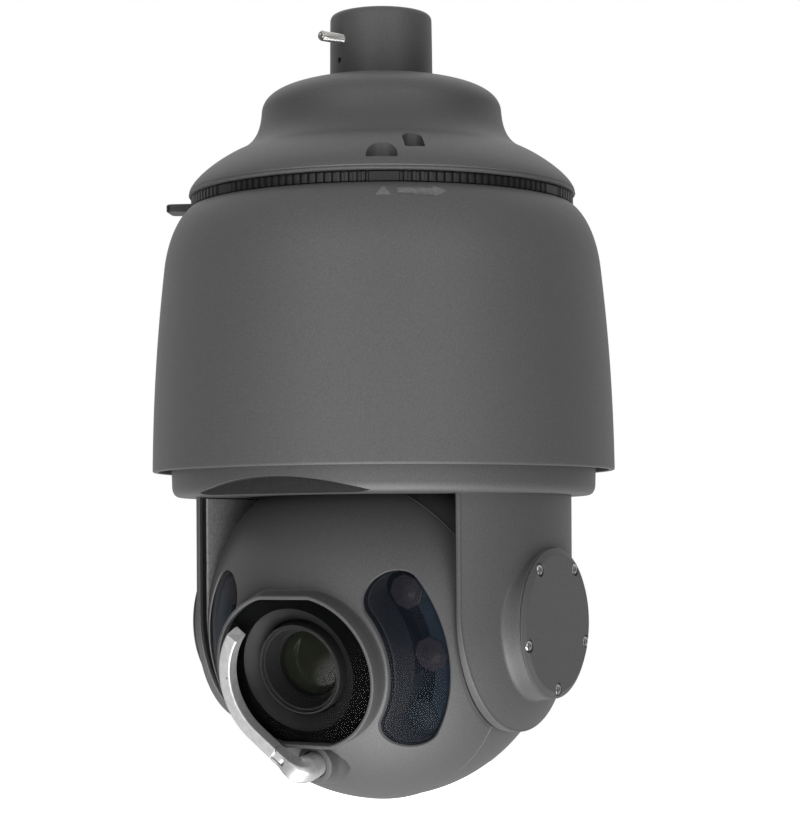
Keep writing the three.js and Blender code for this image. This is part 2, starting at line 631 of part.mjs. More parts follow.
const shaftProfile = (end) => [
  [0, 64.5], [15, 64.5], [15, 67.2], [SHAFT_RADIUS, 67.2], [SHAFT_RADIUS, end], [0, end],
];
put(head, 'right_tilt_shaft', alongX(turn(shaftProfile(DRIVE.x1), 18)), STEEL);
put(head, 'left_tilt_shaft', mirror(alongX(turn(shaftProfile(82), 18))), STEEL);
put(head, 'tilt_pulley', alongX(drum(TILT_PULLEY_RADIUS, DRIVE.x0, DRIVE.x1, 24, SHAFT_RADIUS + FIT)), ALUMINIUM);

// ---------------------------------------------------------------- wiper
put(head, 'wiper_motor', wiperPivot(drum(8, 38, 61, 14)), STEEL);
put(head, 'wiper_seal', wiperPivot(drum(6.5, 66, 69.5, 14, 3.3)), RUBBER);

// The arm's straight stretch leaves its arc at this point and runs towards the pivot.
const leave = WIPER.straight * DEG;
const along = new THREE.Vector2(-Math.sin(leave), Math.cos(leave));
const start = new THREE.Vector2(
  WIPER.arcX + WIPER.arcRadius * Math.cos(leave),
  WIPER.arcZ + WIPER.arcRadius * Math.sin(leave),
);
const depthMiddle = (WIPER.back + WIPER.front) / 2;

// A point on the straight stretch's centre line, 's' along it and 'across' to the pivot's left.
const onStraight = (s, across = 0) => [
  start.x + along.x * s - along.y * across,
  start.y + along.y * s + along.x * across,
];

function straightShape(from, to, width) {
  const corners = [[from, -width / 2], [to, -width / 2], [to, width / 2], [from, width / 2]];
  return new THREE.Shape(corners.map(([s, across]) => new THREE.Vector2(...onStraight(s, across))));
}

// A drum across the arm, about the hinge pin's axis.
function aboutPin(radius, width, segments) {
  const [x, z] = onStraight(WIPER.pinAt);
  return drum(radius, -width / 2, width / 2, segments)
    .rotateY(Math.PI / 2)
    .rotateY(Math.PI - Math.atan2(along.x, -along.y))
    .translate(x, -depthMiddle, z);
}

const fullDepth = (shape, curveSegments = 8) => prismLens(shape, WIPER.back, WIPER.front, curveSegments);

function wiperArm() {
  const arc = new THREE.Shape();
  const [outer, inner] = [WIPER.arcRadius + WIPER.width / 2, WIPER.arcRadius - WIPER.width / 2];
  arc.absarc(WIPER.arcX, WIPER.arcZ, outer, WIPER.tip * DEG, leave, false);
  arc.absarc(WIPER.arcX, WIPER.arcZ, inner, leave, WIPER.tip * DEG, true);
  arc.closePath();
  const beam = join(fullDepth(arc, 10), fullDepth(straightShape(-1, WIPER.pinAt, WIPER.width)));
  const shouldered = cut(beam, aboutPin(5.4, 20, 20));
  const tongue = keep(
    join(fullDepth(straightShape(9, WIPER.pinAt, WIPER.tongue)), aboutPin(3.9, WIPER.tongue, 20)),
    box(-80, 80, -WIPER.front, -WIPER.back, -80, 80),
  );
  return cut(join(shouldered, tongue), aboutPin(1.1, 20, 8));
}

function wiperHub() {
  const end = onStraight(WIPER.pinAt + 4.5);
  const half = WIPER.width / 2;
  const elbow = new THREE.Shape();
  elbow.moveTo(...onStraight(WIPER.pinAt, -half));
  elbow.lineTo(...onStraight(WIPER.pinAt + 2, -half));
  elbow.quadraticCurveTo(end[0] + 2, end[1] - 4.6, 0, WIPER.pivotZ - WIPER.shaft + 0.3);
  elbow.absarc(0, WIPER.pivotZ, WIPER.shaft - 0.3, -Math.PI / 2, Math.PI / 2 + 0.35, false);
  elbow.quadraticCurveTo(end[0] + 4.4, end[1] + 2.2, ...onStraight(WIPER.pinAt + 1.2, half));
  elbow.lineTo(...onStraight(WIPER.pinAt, half));
  elbow.closePath();
  const knuckle = keep(aboutPin(5.1, WIPER.width, 20), box(-80, 80, -WIPER.front, -WIPER.back, -80, 80));
  const shaft = wiperPivot(turn([
    [0, 61.3], [3, 61.3], [3, 70], [WIPER.shaft, 70], [WIPER.shaft, 91.5], [4.6, 94.6], [0, WIPER.front],
  ], 14));
  return cut(
    join(shaft, fullDepth(elbow, 4), knuckle),
    prismLens(straightShape(5, WIPER.pinAt, WIPER.tongue + 0.5), WIPER.back - 2, WIPER.front + 2),
    aboutPin(4.2, WIPER.tongue + 0.5, 20),
    aboutPin(1.1, 20, 8),
  );
}

function wiperBlade() {
  const arc = new THREE.Shape();
  arc.absarc(WIPER.arcX, WIPER.arcZ, WIPER.arcRadius + 1.3, (WIPER.tip + 4) * DEG, leave, false);
  arc.absarc(WIPER.arcX, WIPER.arcZ, WIPER.arcRadius - 1.3, leave, (WIPER.tip + 4) * DEG, true);
  arc.closePath();
  return prismLens(arc, 87.75, WIPER.back - 0.3, 10);
}

put(head, 'wiper_hub', wiperHub(), ALUMINIUM);
put(head, 'wiper_hinge_pin', aboutPin(0.8, WIPER.width, 8), STEEL);
put(head, 'wiper_arm', wiperArm(), ALUMINIUM);
put(head, 'wiper_blade', wiperBlade(), RUBBER);

export default camera;
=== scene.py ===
"""Looks for an outdoor pan-tilt-zoom camera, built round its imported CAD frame. Blender 4.5.

Shapes are made in millimetres in a few local frames (row, yoke, head, lens) and put into the row frame in metres.
"""
import json
from math import acos, asin, atan2, cos, hypot, pi, radians, sin, sqrt, tan, tau

import bmesh
import bpy
from mathutils import Matrix, Vector


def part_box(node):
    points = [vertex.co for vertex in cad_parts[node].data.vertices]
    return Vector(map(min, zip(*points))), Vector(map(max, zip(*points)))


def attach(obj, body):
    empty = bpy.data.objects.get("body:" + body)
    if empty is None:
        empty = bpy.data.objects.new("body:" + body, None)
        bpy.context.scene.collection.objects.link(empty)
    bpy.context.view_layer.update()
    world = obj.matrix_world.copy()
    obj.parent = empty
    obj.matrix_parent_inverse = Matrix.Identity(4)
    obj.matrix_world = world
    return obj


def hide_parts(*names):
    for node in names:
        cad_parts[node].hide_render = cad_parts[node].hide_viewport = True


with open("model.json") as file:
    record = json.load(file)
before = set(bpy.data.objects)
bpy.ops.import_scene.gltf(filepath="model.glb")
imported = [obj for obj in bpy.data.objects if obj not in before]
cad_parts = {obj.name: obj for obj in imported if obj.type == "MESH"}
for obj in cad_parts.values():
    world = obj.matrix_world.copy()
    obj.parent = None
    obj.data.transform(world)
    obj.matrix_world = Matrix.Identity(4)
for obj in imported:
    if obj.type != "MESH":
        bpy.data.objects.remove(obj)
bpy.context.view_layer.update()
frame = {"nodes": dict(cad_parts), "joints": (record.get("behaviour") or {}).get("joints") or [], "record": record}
scene = bpy.context.scene

# ---- sizes in millimetres, read from the frame where it has them
MM = 0.001
joints = {joint["name"]: joint for joint in frame["joints"]}


def low(node, axis):
    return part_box(node)[0]["xyz".index(axis)] / MM


def high(node, axis):
    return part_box(node)[1]["xyz".index(axis)] / MM


TILT_Z = joints["tilt"]["pos_m"][2] / MM
SWEEP_AXIS = joints["wiper_sweep"]["axis"]
REST_TILT = atan2(SWEEP_AXIS[2], SWEEP_AXIS[1])
HOUSING_FRONT = radians(-59.5)  # bearing of the fixed housing's front marks, from +X

NECK = {"radius": 25.3, "bore": 19.5, "thread_root": 20.9, "pitch": 2.309, "screw_z": -15, "earth_z": -25}
CAP_RIM = {"radius": high("pendant_cap", "x"), "z": low("pendant_cap", "z")}
RING = {"outer": high("lock_ring", "x"), "top": high("lock_ring", "z"), "bottom": low("lock_ring", "z")}
HOUSING = {
    "top": high("upper_housing", "z"), "skirt": high("upper_housing", "x"), "bottom": low("upper_housing", "z"),
}
BASE = {"radius": high("pan_base", "x"), "bottom": low("pan_base", "z"), "wall": 3}
ARM = {
    "outer": 93.5, "inner": low("right_arm", "x"), "half": high("right_arm", "y"),
    "top": high("right_arm", "z") - TILT_Z, "arc": 4.5, "wall": 3.3,
}
HUB = {"root": 37.2, "rim": 36.4, "cover": 36.2, "face": 33.2, "bore": 28, "bolts": 31.7}
HUB_FACE = {"right": high("right_hub_cover", "x"), "left": -low("left_hub_cover", "x")}
BALL = {"radius": 88.3, "wall": 3, "flat": high("rear_shell", "x"), "seam": 31}
COLLAR = {"radius": 38.6, "offset": 4.7, "flat": 37.6}
OPENING = {"radius": 36.7, "offset": 4.7, "flat": 35.6}
COLLAR_FRONT = 87.5
IR = {"radius": 56, "half": 10.65, "angle": radians(34.5), "floor": 53.5}
SIDES = {"right": 1, "left": -1}
WIPER = {
    "pivot": -47.5, "shaft": 6.2, "hole": 6.8, "back": 89, "front": 95.8, "width": 6.2,
    "arc_x": 1.5, "arc_z": -3, "arc": 35.5, "tip": radians(138.5), "straight": radians(227.2),
    "pin": 17.5, "tongue": 3.2, "knuckle": 5.1,
}

# ---- local frames
ROW = Matrix.Identity(4)
YOKE = Matrix.Translation((0, 0, TILT_Z))
HEAD = YOKE @ Matrix.Rotation(REST_TILT, 4, "X")
LENS = HEAD @ Matrix.Rotation(pi / 2, 4, "X")  # x right, y up, z out along the lens
HUB_SIDE = {  # x along +Y, y up, z out of the hub
    side: YOKE @ Matrix(((0, 0, sign, 0), (1, 0, 0, 0), (0, 1, 0, 0), (0, 0, 0, 1))) for side, sign in SIDES.items()
}


def at(x, y, z):
    return Matrix.Translation((x, y, z))


def bearing(angle):
    return Matrix.Rotation(angle, 4, "Z")


# ---- meshes
def solid(points, faces, place=ROW):
    """A bmesh in millimetres, moved by 'place', with its faces out."""
    bm = bmesh.new()
    corners = [bm.verts.new(place @ Vector(p)) for p in points]
    for face in faces:
        bm.faces.new([corners[i] for i in face])
    bmesh.ops.remove_doubles(bm, verts=bm.verts, dist=1e-4)
    bmesh.ops.recalc_face_normals(bm, faces=bm.faces)
    return bm


def grid_faces(rows, columns, wrap_rows, wrap_columns):
    faces = []
    for i in range(rows if wrap_rows else rows - 1):
        for j in range(columns if wrap_columns else columns - 1):
            k, m = (i + 1) % rows, (j + 1) % columns
            faces.append((i * columns + j, k * columns + j, k * columns + m, i * columns + m))
    return faces


def turned(path, angle):
    """A path of (radius, z), set at one angle about Z."""
    c, s = cos(angle), sin(angle)
    return [(r * c, r * s, z) for r, z in path]


def revolve(profile, segments=128, place=ROW):
    """A closed profile of (radius, z) turned about Z. Ends on the axis close themselves."""
    points = [p for i in range(segments) for p in turned(profile, tau * i / segments)]
    on_axis = profile[0][0] == 0 and profile[-1][0] == 0
    bm = solid(points, grid_faces(segments, len(profile), True, not on_axis), place)
    bmesh.ops.dissolve_degenerate(bm, edges=bm.edges, dist=1e-5)
    bmesh.ops.recalc_face_normals(bm, faces=bm.faces)
    return bm


def level(outline, z):
    return [(x, y, z) for x, y in outline]


def prism(outline, z0, z1, place=ROW):
    """A flat outline of (x, y) pushed from z0 to z1."""
    count = len(outline)
    faces = [tuple(range(count)), tuple(range(count, 2 * count))]
    faces += [(i, (i + 1) % count, count + (i + 1) % count, count + i) for i in range(count)]
    return solid(level(outline, z0) + level(outline, z1), faces, place)


def loft(rings, place=ROW):
    """Rings of 3-D points, each with the same count, joined in order and closed at both ends."""
    count = len(rings[0])
    points = [p for ring in rings for p in ring]
    faces = grid_faces(len(rings), count, False, True)
    faces += [tuple(range(count)), tuple(range(len(points) - count, len(points)))]
    return solid(points, faces, place)


def torus_grid(sections, place=ROW):
    """Closed sections of 3-D points round a closed loop."""
    points = [p for section in sections for p in section]
    return solid(points, grid_faces(len(sections), len(sections[0]), True, True), place)


# ---- outlines
def arc(cx, cy, radius, start, end, steps):
    angles = [start + (end - start) * i / steps for i in range(steps + 1)]
    return [(cx + radius * cos(a), cy + radius * sin(a)) for a in angles]


def circle(cx, cy, radius, steps):
    return arc(cx, cy, radius, 0, tau, steps)[:-1]


def cubic_weights(t):
    return (1 - t) ** 3, 3 * t * (1 - t) ** 2, 3 * t * t * (1 - t), t ** 3


def curve(p0, p1, p2, p3, steps):
    """A cubic curve from p0 to p3, without p0."""
    points = []
    for i in range(1, steps + 1):
        weights = cubic_weights(i / steps)
        points.append(tuple(sum(w * p[k] for w, p in zip(weights, (p0, p1, p2, p3))) for k in (0, 1)))
    return points


def rounded(corners, steps=4, closed=False):
    """A path of (x, y, radius) corners with each corner rounded. A radius of 0 keeps it sharp."""
    path = []
    count = len(corners)
    for i, (x, y, radius) in enumerate(corners):
        if radius == 0 or (not closed and i in (0, count - 1)):
            path.append((x, y))
            continue
        here = Vector((x, y))
        before = Vector(corners[i - 1][:2]) - here
        after = Vector(corners[(i + 1) % count][:2]) - here
        half = before.angle(after) / 2
        reach = radius / tan(half)
        start, end = here + before.normalized() * reach, here + after.normalized() * reach
        middle = here + (before.normalized() + after.normalized()).normalized() * radius / sin(half)
        turn = (start - middle).angle_signed(end - middle)
        for k in range(steps + 1):
            spoke = (start - middle).copy()
            spoke.rotate(Matrix.Rotation(-turn * k / steps, 2))
            path.append(tuple(middle + spoke))
    return path


def oval(shape, grow):
    """Side arcs about (+-offset, 0), with the top and bottom cut flat."""
    radius, flat = shape["radius"] + grow, shape["flat"] + grow
    end = asin(min(1, flat / radius))
    right = arc(shape["offset"], 0, radius, -end, end, 48)
    left = arc(-shape["offset"], 0, radius, pi - end, pi + end, 48)
    return right + left


def oval_radius(shape, angle):
    """Distance from the middle to the oval in one direction."""
    c, s = abs(cos(angle)), abs(sin(angle))
    offset, radius, flat = shape["offset"], shape["radius"], shape["flat"]
    reach = offset * c + sqrt(radius * radius - (offset * s) ** 2)
    return min(reach, flat / s) if s > 1e-6 else reach


def band(half, sign):
    """A band of an annulus beside the lens, with round ends, as seen from in front."""
    a = IR["angle"]
    x, z = IR["radius"] * cos(a), IR["radius"] * sin(a)
    points = arc(0, 0, IR["radius"] + half, -a, a, 40)
    points += arc(x, z, half, a, a + pi, 16)[1:-1]
    points += arc(0, 0, IR["radius"] - half, a, -a, 40)
    points += arc(x, -z, half, pi - a, tau - a, 16)[1:-1]
    return [(sign * px, py) for px, py in points]


def on_ball(points, radius):
    """A flat outline dropped along the lens's axis onto a ball."""
    return [(x, y, sqrt(radius * radius - x * x - y * y)) for x, y in points]


# ---- objects
def as_mesh(bm, name="work"):
    """Mesh data from a bmesh, which is freed."""
    mesh = bpy.data.meshes.new(name)
    bm.to_mesh(mesh)
    bm.free()
    return mesh


def new_object(name, data):
    obj = bpy.data.objects.new(name, data)
    scene.collection.objects.link(obj)
    return obj


def evaluated(obj):
    """The object's mesh after its modifiers, as a bmesh."""
    result = bmesh.new()
    result.from_mesh(obj.evaluated_get(bpy.context.evaluated_depsgraph_get()).to_mesh())
    return result


def discard(obj):
    mesh = obj.data
    bpy.data.objects.remove(obj)
    bpy.data.meshes.remove(mesh)


def piece(name, bm, material, body, replaces=(), sharp=35.0):
    """A finished piece: metres, smooth shading with sharp edges by angle, riding on its body."""
    bmesh.ops.scale(bm, vec=(MM, MM, MM), verts=bm.verts)
    mesh = as_mesh(bm, name)
    for polygon in mesh.polygons:
        polygon.use_smooth = True
    mesh.set_sharp_from_angle(angle=radians(sharp))
    obj = new_object(name, mesh)
    mesh.materials.append(material)
    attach(obj, body)
    if replaces:
        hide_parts(*replaces)


def boolean(target, operation, *others):
    """target with each of the others cut from it, joined to it or kept in common. All of them are used up."""
    made = [new_object("work", as_mesh(bm)) for bm in (target, *others)]
    for other in made[1:]:
        modifier = made[0].modifiers.new("boolean", "BOOLEAN")
        modifier.operation = operation
        modifier.solver = "EXACT"
        modifier.object = other
    result = evaluated(made[0])
    for obj in made:
        discard(obj)
    bmesh.ops.remove_doubles(result, verts=result.verts, dist=1e-3)
    return result


def cut(target, *others):
    return boolean(target, "DIFFERENCE", *others)


def join(target, *others):
    return boolean(target, "UNION", *others)


def keep(target, *others):
    return boolean(target, "INTERSECT", *others)


def heap(*parts):
    """Separate bodies in one mesh."""
    whole = bmesh.new()
    for part in parts:
        mesh = as_mesh(part)
        whole.from_mesh(mesh)
        bpy.data.meshes.remove(mesh)
    return whole


def cast(voxel, smoothing, *parts):
    """Parts that overlap, melted into one body with soft edges, as a casting has."""
    obj = new_object("work", as_mesh(heap(*parts)))
    remesh = obj.modifiers.new("remesh", "REMESH")
    remesh.mode = "VOXEL"
    remesh.voxel_size = voxel
    smooth = obj.modifiers.new("smooth", "SMOOTH")
    smooth.factor = 0.5
    smooth.iterations = smoothing
    result = evaluated(obj)
    discard(obj)
    return result


# ---- materials
def fill(node, values):
    """Set a node's inputs."""
    for socket, value in values.items():
        node.inputs[socket].default_value = value
    return node


def shader(mat):
    return mat.node_tree.nodes["Principled BSDF"]


def material(name, color, roughness, metallic=0.0, specular=0.5):
    mat = bpy.data.materials.new(name)
    mat.use_nodes = True
    fill(shader(mat), {"Base Color": (*color, 1), "Roughness": roughness, "Metallic": metallic,
                       "Specular IOR Level": specular})
    return mat


def noise(mat, scale, target, detail=2.0):
    """Noise into a node's input, in the row frame's own metres, so that its grain has a real size."""
    nodes, links = mat.node_tree.nodes, mat.node_tree.links
    source = fill(nodes.new("ShaderNodeTexNoise"), {"Scale": scale, "Detail": detail})
    links.new(nodes.new("ShaderNodeTexCoord").outputs["Object"], source.inputs["Vector"])
    links.new(source.outputs["Fac"], target)


def shade(mat, output, socket):
    """Wire a node's output to a socket of the shader."""
    mat.node_tree.links.new(output, shader(mat).inputs[socket])


def mottle(mat, scale, dark, light, detail=2.0, spread=(0.35, 0.65)):
    """Base colour that wanders between two colours."""
    ramp = mat.node_tree.nodes.new("ShaderNodeValToRGB")
    for stop, position, color in zip(ramp.color_ramp.elements, spread, (dark, light)):
        stop.position = position
        stop.color = (*color, 1)
    noise(mat, scale, ramp.inputs["Fac"], detail)
    shade(mat, ramp.outputs["Color"], "Base Color")


def grain(mat, scale, strength, distance):
    """A fine bump."""
    bump = fill(mat.node_tree.nodes.new("ShaderNodeBump"), {"Strength": strength, "Distance": distance})
    noise(mat, scale, bump.inputs["Height"])
    shade(mat, bump.outputs["Normal"], "Normal")


def rough_range(mat, scale, least, most):
    """Roughness that wanders between two values."""
    spread = fill(mat.node_tree.nodes.new("ShaderNodeMapRange"), {"To Min": least, "To Max": most})
    noise(mat, scale, spread.inputs["Value"])
    shade(mat, spread.outputs["Result"], "Roughness")


def moulded(name, color, roughness=0.5, specular=0.5):
    """Moulded plastic with a faint spark-eroded grain."""
    mat = material(name, color, roughness, specular=specular)
    mottle(mat, 600, color, tuple(1.35 * c for c in color))
    grain(mat, 2200, 0.2, 0.00005)
    return mat


def ink(name, color, specular=0.06):
    """A thin even print with hardly any shine."""
    mat = material(name, color, 0.7, specular=specular)
    mottle(mat, 300, color, tuple(1.2 * c for c in color))
    return mat


def metal(name, color, roughness, scale, metallic):
    """Metal whose colour and gloss wander a little."""
    mat = material(name, color, roughness, metallic=metallic)
    mottle(mat, scale, tuple(0.86 * c for c in color), color)
    rough_range(mat, scale * 2, roughness * 0.8, roughness * 1.25)
    grain(mat, scale * 4, 0.1, 0.00003)
    return mat


def see_through(name, color, alpha, roughness=0.03, specular=0.5):
    mat = material(name, color, roughness, specular=specular)
    mottle(mat, 40, color, tuple(1.2 * c for c in color))
    fill(shader(mat), {"Alpha": alpha})
    return mat


# Dark grey powder coat: a fine orange-peel grain with light flecks in it.
PAINT = material("powder_coat", (0.08, 0.08, 0.081), 0.45)
mottle(PAINT, 1500, (0.0595, 0.0588, 0.0605), (0.0865, 0.0855, 0.088), detail=3, spread=(0.3, 0.7))
grain(PAINT, 1300, 0.28, 0.0001)
rough_range(PAINT, 900, 0.42, 0.56)
BLACK = moulded("black_plastic", (0.01, 0.01, 0.0105), 0.42)
MASK = ink("window_ink", (0.002, 0.002, 0.002), specular=0.01)
# Lighter than the barrel's black: painted highlights on the lens barrel's rims.
RING_HIGHLIGHT = ink("lens_ring_painted_highlight", (0.036, 0.036, 0.033))
INNER_BLACK = moulded("inner_black", (0.012, 0.012, 0.0125), 0.5, specular=0.2)
RUBBER = moulded("rubber", (0.009, 0.009, 0.009), 0.8)
STEEL = metal("bright_steel", (0.6, 0.59, 0.575), 0.22, 1500, metallic=0.92)
ALUMINIUM = metal("satin_aluminium", (0.6, 0.6, 0.605), 0.4, 350, metallic=0.6)
WINDOW = see_through("window_glass", (0.004, 0.0045, 0.005), 0.06)
IR_GLASS = see_through("infrared_glass", (0.006, 0.008, 0.012), 0.45, specular=0.06)
LENS_GLASS = see_through("lens_glass", (0.013, 0.0145, 0.0095), 0.8, 0.08, specular=0.22)
WELL = moulded("lamp_well", (0.1, 0.097, 0.1), 0.6)
LAMP_PLATE = ink("lamp_plate", (0.055, 0.085, 0.125))
LAMP_FLOOR = ink("lamp_floor", (0.014, 0.021, 0.031))
LAMP_LENS = moulded("lamp_lens", (0.105, 0.088, 0.1), 0.25)
# A teal tint for one of three alike lenses: a painted reflection.
LAMP_LENS_SHEEN = moulded("lamp_lens_painted_sheen", (0.045, 0.06, 0.075), 0.2)
MARK = moulded("printed_mark", (0.12, 0.118, 0.12), 0.5)
# Near-black for the scallop's recess behind the arch: painted shade.
SCALLOP_SHADE = moulded("scallop_painted_shade", (0.018, 0.018, 0.0185), 0.55, specular=0.3)
# Far lighter than the powder coat: painted light on the arms' inner covers, which are painted like the arms.
COVER_PAINTED_LIGHT = moulded("inner_cover_painted_light", (0.3, 0.3, 0.303), 0.5)
BOARD = material("circuit_board", (0.015, 0.08, 0.04), 0.4)
mottle(BOARD, 250, (0.01, 0.06, 0.03), (0.03, 0.12, 0.06))


# ---- pendant cap
def helix_thread(bore, root, pitch, z0, z1, segments=72, inside=True):
    """A screw thread as a skin on a closed sleeve. The crests are at 'bore' and the roots at 'root'."""
    behind = root + 1.5 if inside else 0.2
    steps = int((z1 - z0) / pitch * 6)
    heights = [z0 + (z1 - z0) * k / steps for k in range(steps + 1)]
    points = []
    for i in range(segments):
        turn = i / segments
        ring = [(behind, z0)]
        for z in heights:
            share = ((z - z0) / pitch + turn) % 1
            depth = min(1.0, max(0.0, 1.6 * abs(2 * share - 1) - 0.3))
            ring.append((bore + (root - bore) * depth, z))
        points += turned(ring + [(behind, z1)], tau * turn)
    return solid(points, grid_faces(segments, len(heights) + 2, True, True))


def cap_profile():
    """Down the outside from the neck's mouth to the rim, and back up the hollow."""
    radius, z = CAP_RIM["radius"], CAP_RIM["z"]
    neck, bore = NECK["radius"], NECK["thread_root"] + 0.05
    outside = [(bore, -0.6), (bore + 0.6, 0), (neck - 3.2, 0)]
    outside += curve((neck - 3.2, 0), (neck - 1, -0.1), (neck, -1.4), (neck, -3.4), 8)
    outside += [(neck + 0.15, -15), (neck + 0.3, -32.6)]
    outside += curve((neck + 0.3, -32.9), (48, -35.4), (59.2, -39.6), (59.8, -49), 28)
    outside += curve((59.8, -49), (60.6, -60), (64.5, -66), (73, -69.8), 24)
    outside += curve((73, -69.8), (82, -74), (94.3, -83), (radius - 0.25, z + 2.3), 28)
    lip = [(radius - 0.5, z + 1.9), (radius - 0.45, z + 1.6), (radius - 0.1, z + 1.35), (radius, z + 1),
           (radius, z + 0.7), (radius - 0.35, z + 0.25), (radius - 1, z)]
    inside = [(84, z), (84, -82), (69.5, -73), (58.5, -64), (56.6, -49), (50, -39.5), (bore, -37)]
    return outside + lip + inside


def turned_cutter(radius, z0, z1, place, segments=32):
    return revolve([(0, z0), (radius, z0), (radius, z1), (0, z1)], segments, place)


def sideways(angle, radius, z):
    """A frame whose z points out of the neck at a bearing."""
    return bearing(angle) @ at(radius, 0, z) @ Matrix.Rotation(pi / 2, 4, "Y")


SCREW_BEARING = HOUSING_FRONT - radians(49.5)
EARTH_BEARING = HOUSING_FRONT - radians(54)


def pendant_cap():
    """The cap with a half-round seat in its rim, a slot beside it, and the set screw's and earth screw's holes."""
    seat = turned_cutter(7.4, -85.3, -70, bearing(HOUSING_FRONT) @ at(93, 0, 0), 48)
    slot_outline = arc(81, 0, 4.8, pi / 2, 3 * pi / 2, 24) + [(100, -4.8), (100, 4.8)]
    slot = prism(slot_outline, -79.5, -66, bearing(HOUSING_FRONT + radians(10.2)))
    screw = turned_cutter(2.62, -4, 8, sideways(SCREW_BEARING, NECK["radius"], NECK["screw_z"]))
    earth = turned_cutter(1.5, -3.6, 4, sideways(EARTH_BEARING, NECK["radius"], NECK["earth_z"]))
    body = cut(revolve(cap_profile(), 192), seat, slot, screw, earth)
    piece("pendant_cap_body", body, PAINT, "housing", ["pendant_cap"])
    thread = helix_thread(NECK["bore"], NECK["thread_root"], NECK["pitch"], -35, -1.2)
    piece("neck_thread", thread, PAINT, "housing")


def neck_set_screw():
    """An M5 set screw with a hexagon socket, part way out of the neck."""
    length, start = 21.5, 17.5
    place = sideways(SCREW_BEARING, start, NECK["screw_z"])
    core = revolve([(0, 0), (1.7, 0), (2.2, 0.6), (2.2, length - 0.5), (1.9, length), (0, length)], 48)
    socket = prism(circle(0, 0, 1.45, 6), length - 2.6, length + 1)
    thread = helix_thread(2.5, 2.16, 0.8, 0.7, length - 0.7, 40, inside=False)
    whole = heap(cut(core, socket), thread)
    bmesh.ops.transform(whole, matrix=place, verts=whole.verts)
    piece("set_screw", whole, STEEL, "housing", ["neck_set_screw"])


# ---- lock ring
def lock_ring():
    """Black ring with ribs round its rim, a few plain stretches and a lever."""
    ribs, samples, thick, edge = 152, 8, 3.9, 0.5
    plain = [(radians(middle), radians(half)) for middle, half in
             ((0.5, 4.2), (-97, 7), (-52, 3.2), (128, 9), (60, 3.2), (-160, 6))]
    count = ribs * samples
    sections = []
    inner, outer, top, bottom = RING["outer"] - 6, RING["outer"], RING["top"], RING["bottom"]
    for i in range(count):
        angle = tau * i / count
        turn = (angle - HOUSING_FRONT + pi) % (tau) - pi
        phase = (i % samples) / samples
        groove = 1.5 if phase < 0.5 else 0.0
        if any(abs(turn - middle) < half for middle, half in plain):
            groove = 0.25
        radius = outer - groove
        path = [(inner, bottom), (radius - 0.25, bottom), (radius, bottom + 0.3), (radius, top - 0.75),
                (radius - 0.3, top - 0.55), (outer - 1.3, top - 0.5), (outer - 1.5, top), (inner, top)]
        sections.append(turned(path, angle))
    piece("ring_body", torus_grid(sections), BLACK, "lock_ring", ["lock_ring"], sharp=28)

    outline = rounded([(90.5, -8.5, 0), (108.5, -8.5, 3), (108.5, 8.5, 3), (90.5, 8.5, 0)], 8)
    rings = []
    for z, inset in ((bottom, edge), (bottom + edge, 0), (bottom + thick - edge, 0), (bottom + thick, edge)):
        rings.append([(x - (inset if x > 100 else 0), y * (1 - inset / 8.5), z) for x, y in outline])
    lever = loft(rings, bearing(HOUSING_FRONT - radians(97)))
    piece("ring_lever", lever, BLACK, "lock_ring")


# ---- fixed housing
def housing_side():
    """The housing's outer side from its top edge down to the skirt."""
    top, skirt, bottom = HOUSING["top"], HOUSING["skirt"], HOUSING["bottom"]
    side = [(94.4, top), (95.2, top - 0.15)]
    side += curve((95.2, top - 0.15), (102, -102), (107.3, -114), (108.8, -129), 32)
    side += curve((108.8, -129), (111, -149), (114.3, -180), (skirt, bottom + 1.5), 32)
    return side


def upper_housing():
    """The drum: its side, the skirt's rim, and the hollow with the ledge over the turning base."""
    skirt, bottom, top = HOUSING["skirt"], HOUSING["bottom"], HOUSING["top"]
    rim = [(skirt, bottom + 0.6), (skirt - 0.3, bottom + 0.15), (skirt - 0.8, bottom), (skirt - 2.4, bottom),
           (skirt - 2.7, bottom + 0.3), (112, bottom + 6)]
    inside = [(110.4, -191.5), (104, -194.5), (104, -191), (110, -191), (105.4, -129), (101, -112),
              (93, -101.5), (93, top)]
    piece("housing_shell", revolve(housing_side() + rim + inside, 256), PAINT, "housing", ["upper_housing"])


SHOULDER = 97  # the housing's radius where the marks lie


def on_housing(turn, drop, lift):
    """A point on the housing: angle from its front, way down the skin from the top edge, height off the skin."""
    side = housing_side()
    for (r0, z0), (r1, z1) in zip(side, side[1:]):
        step = hypot(r1 - r0, z1 - z0)
        if drop <= step:
            share = drop / step
            r, z = r0 + (r1 - r0) * share, z0 + (z1 - z0) * share
            off_r, off_z = (z0 - z1) / step * lift, (r1 - r0) / step * lift
            return turned([(r + off_r, z + off_z)], HOUSING_FRONT + turn)[0]
        drop -= step
    raise ValueError("the mark lies below the housing")


def printed_mark(name, outline):
    """A thin printed shape of (millimetres to the right, millimetres down), laid on the shoulder."""
    bm = bmesh.new()
    corners = [bm.verts.new((x, y, 0)) for x, y in outline]
    bm.faces.new(corners)
    bmesh.ops.triangulate(bm, faces=bm.faces)
    for _ in range(3):
        bmesh.ops.subdivide_edges(bm, edges=bm.edges, cuts=1, use_grid_fill=True)
    bmesh.ops.triangulate(bm, faces=bm.faces)
    made = bmesh.ops.extrude_face_region(bm, geom=bm.faces[:])
    raised = {v for v in made["geom"] if isinstance(v, bmesh.types.BMVert)}
    for v in bm.verts:
        lift = 0.1 if v in raised else -0.1
        v.co = Vector(on_housing(v.co.x / SHOULDER, v.co.y, lift))
    bmesh.ops.recalc_face_normals(bm, faces=bm.faces)
    piece(name, bm, MARK, "housing")


def printed_marks():
    printed_mark("mark_triangle", [(-2.8, 10), (4, 10), (0.6, 4.4)])
    printed_mark("mark_arrow", [(7, 5.6), (23.5, 5.6), (23.5, 3.8), (29.6, 7.2), (23.5, 10.6), (23.5, 8.8), (7, 8.8)])


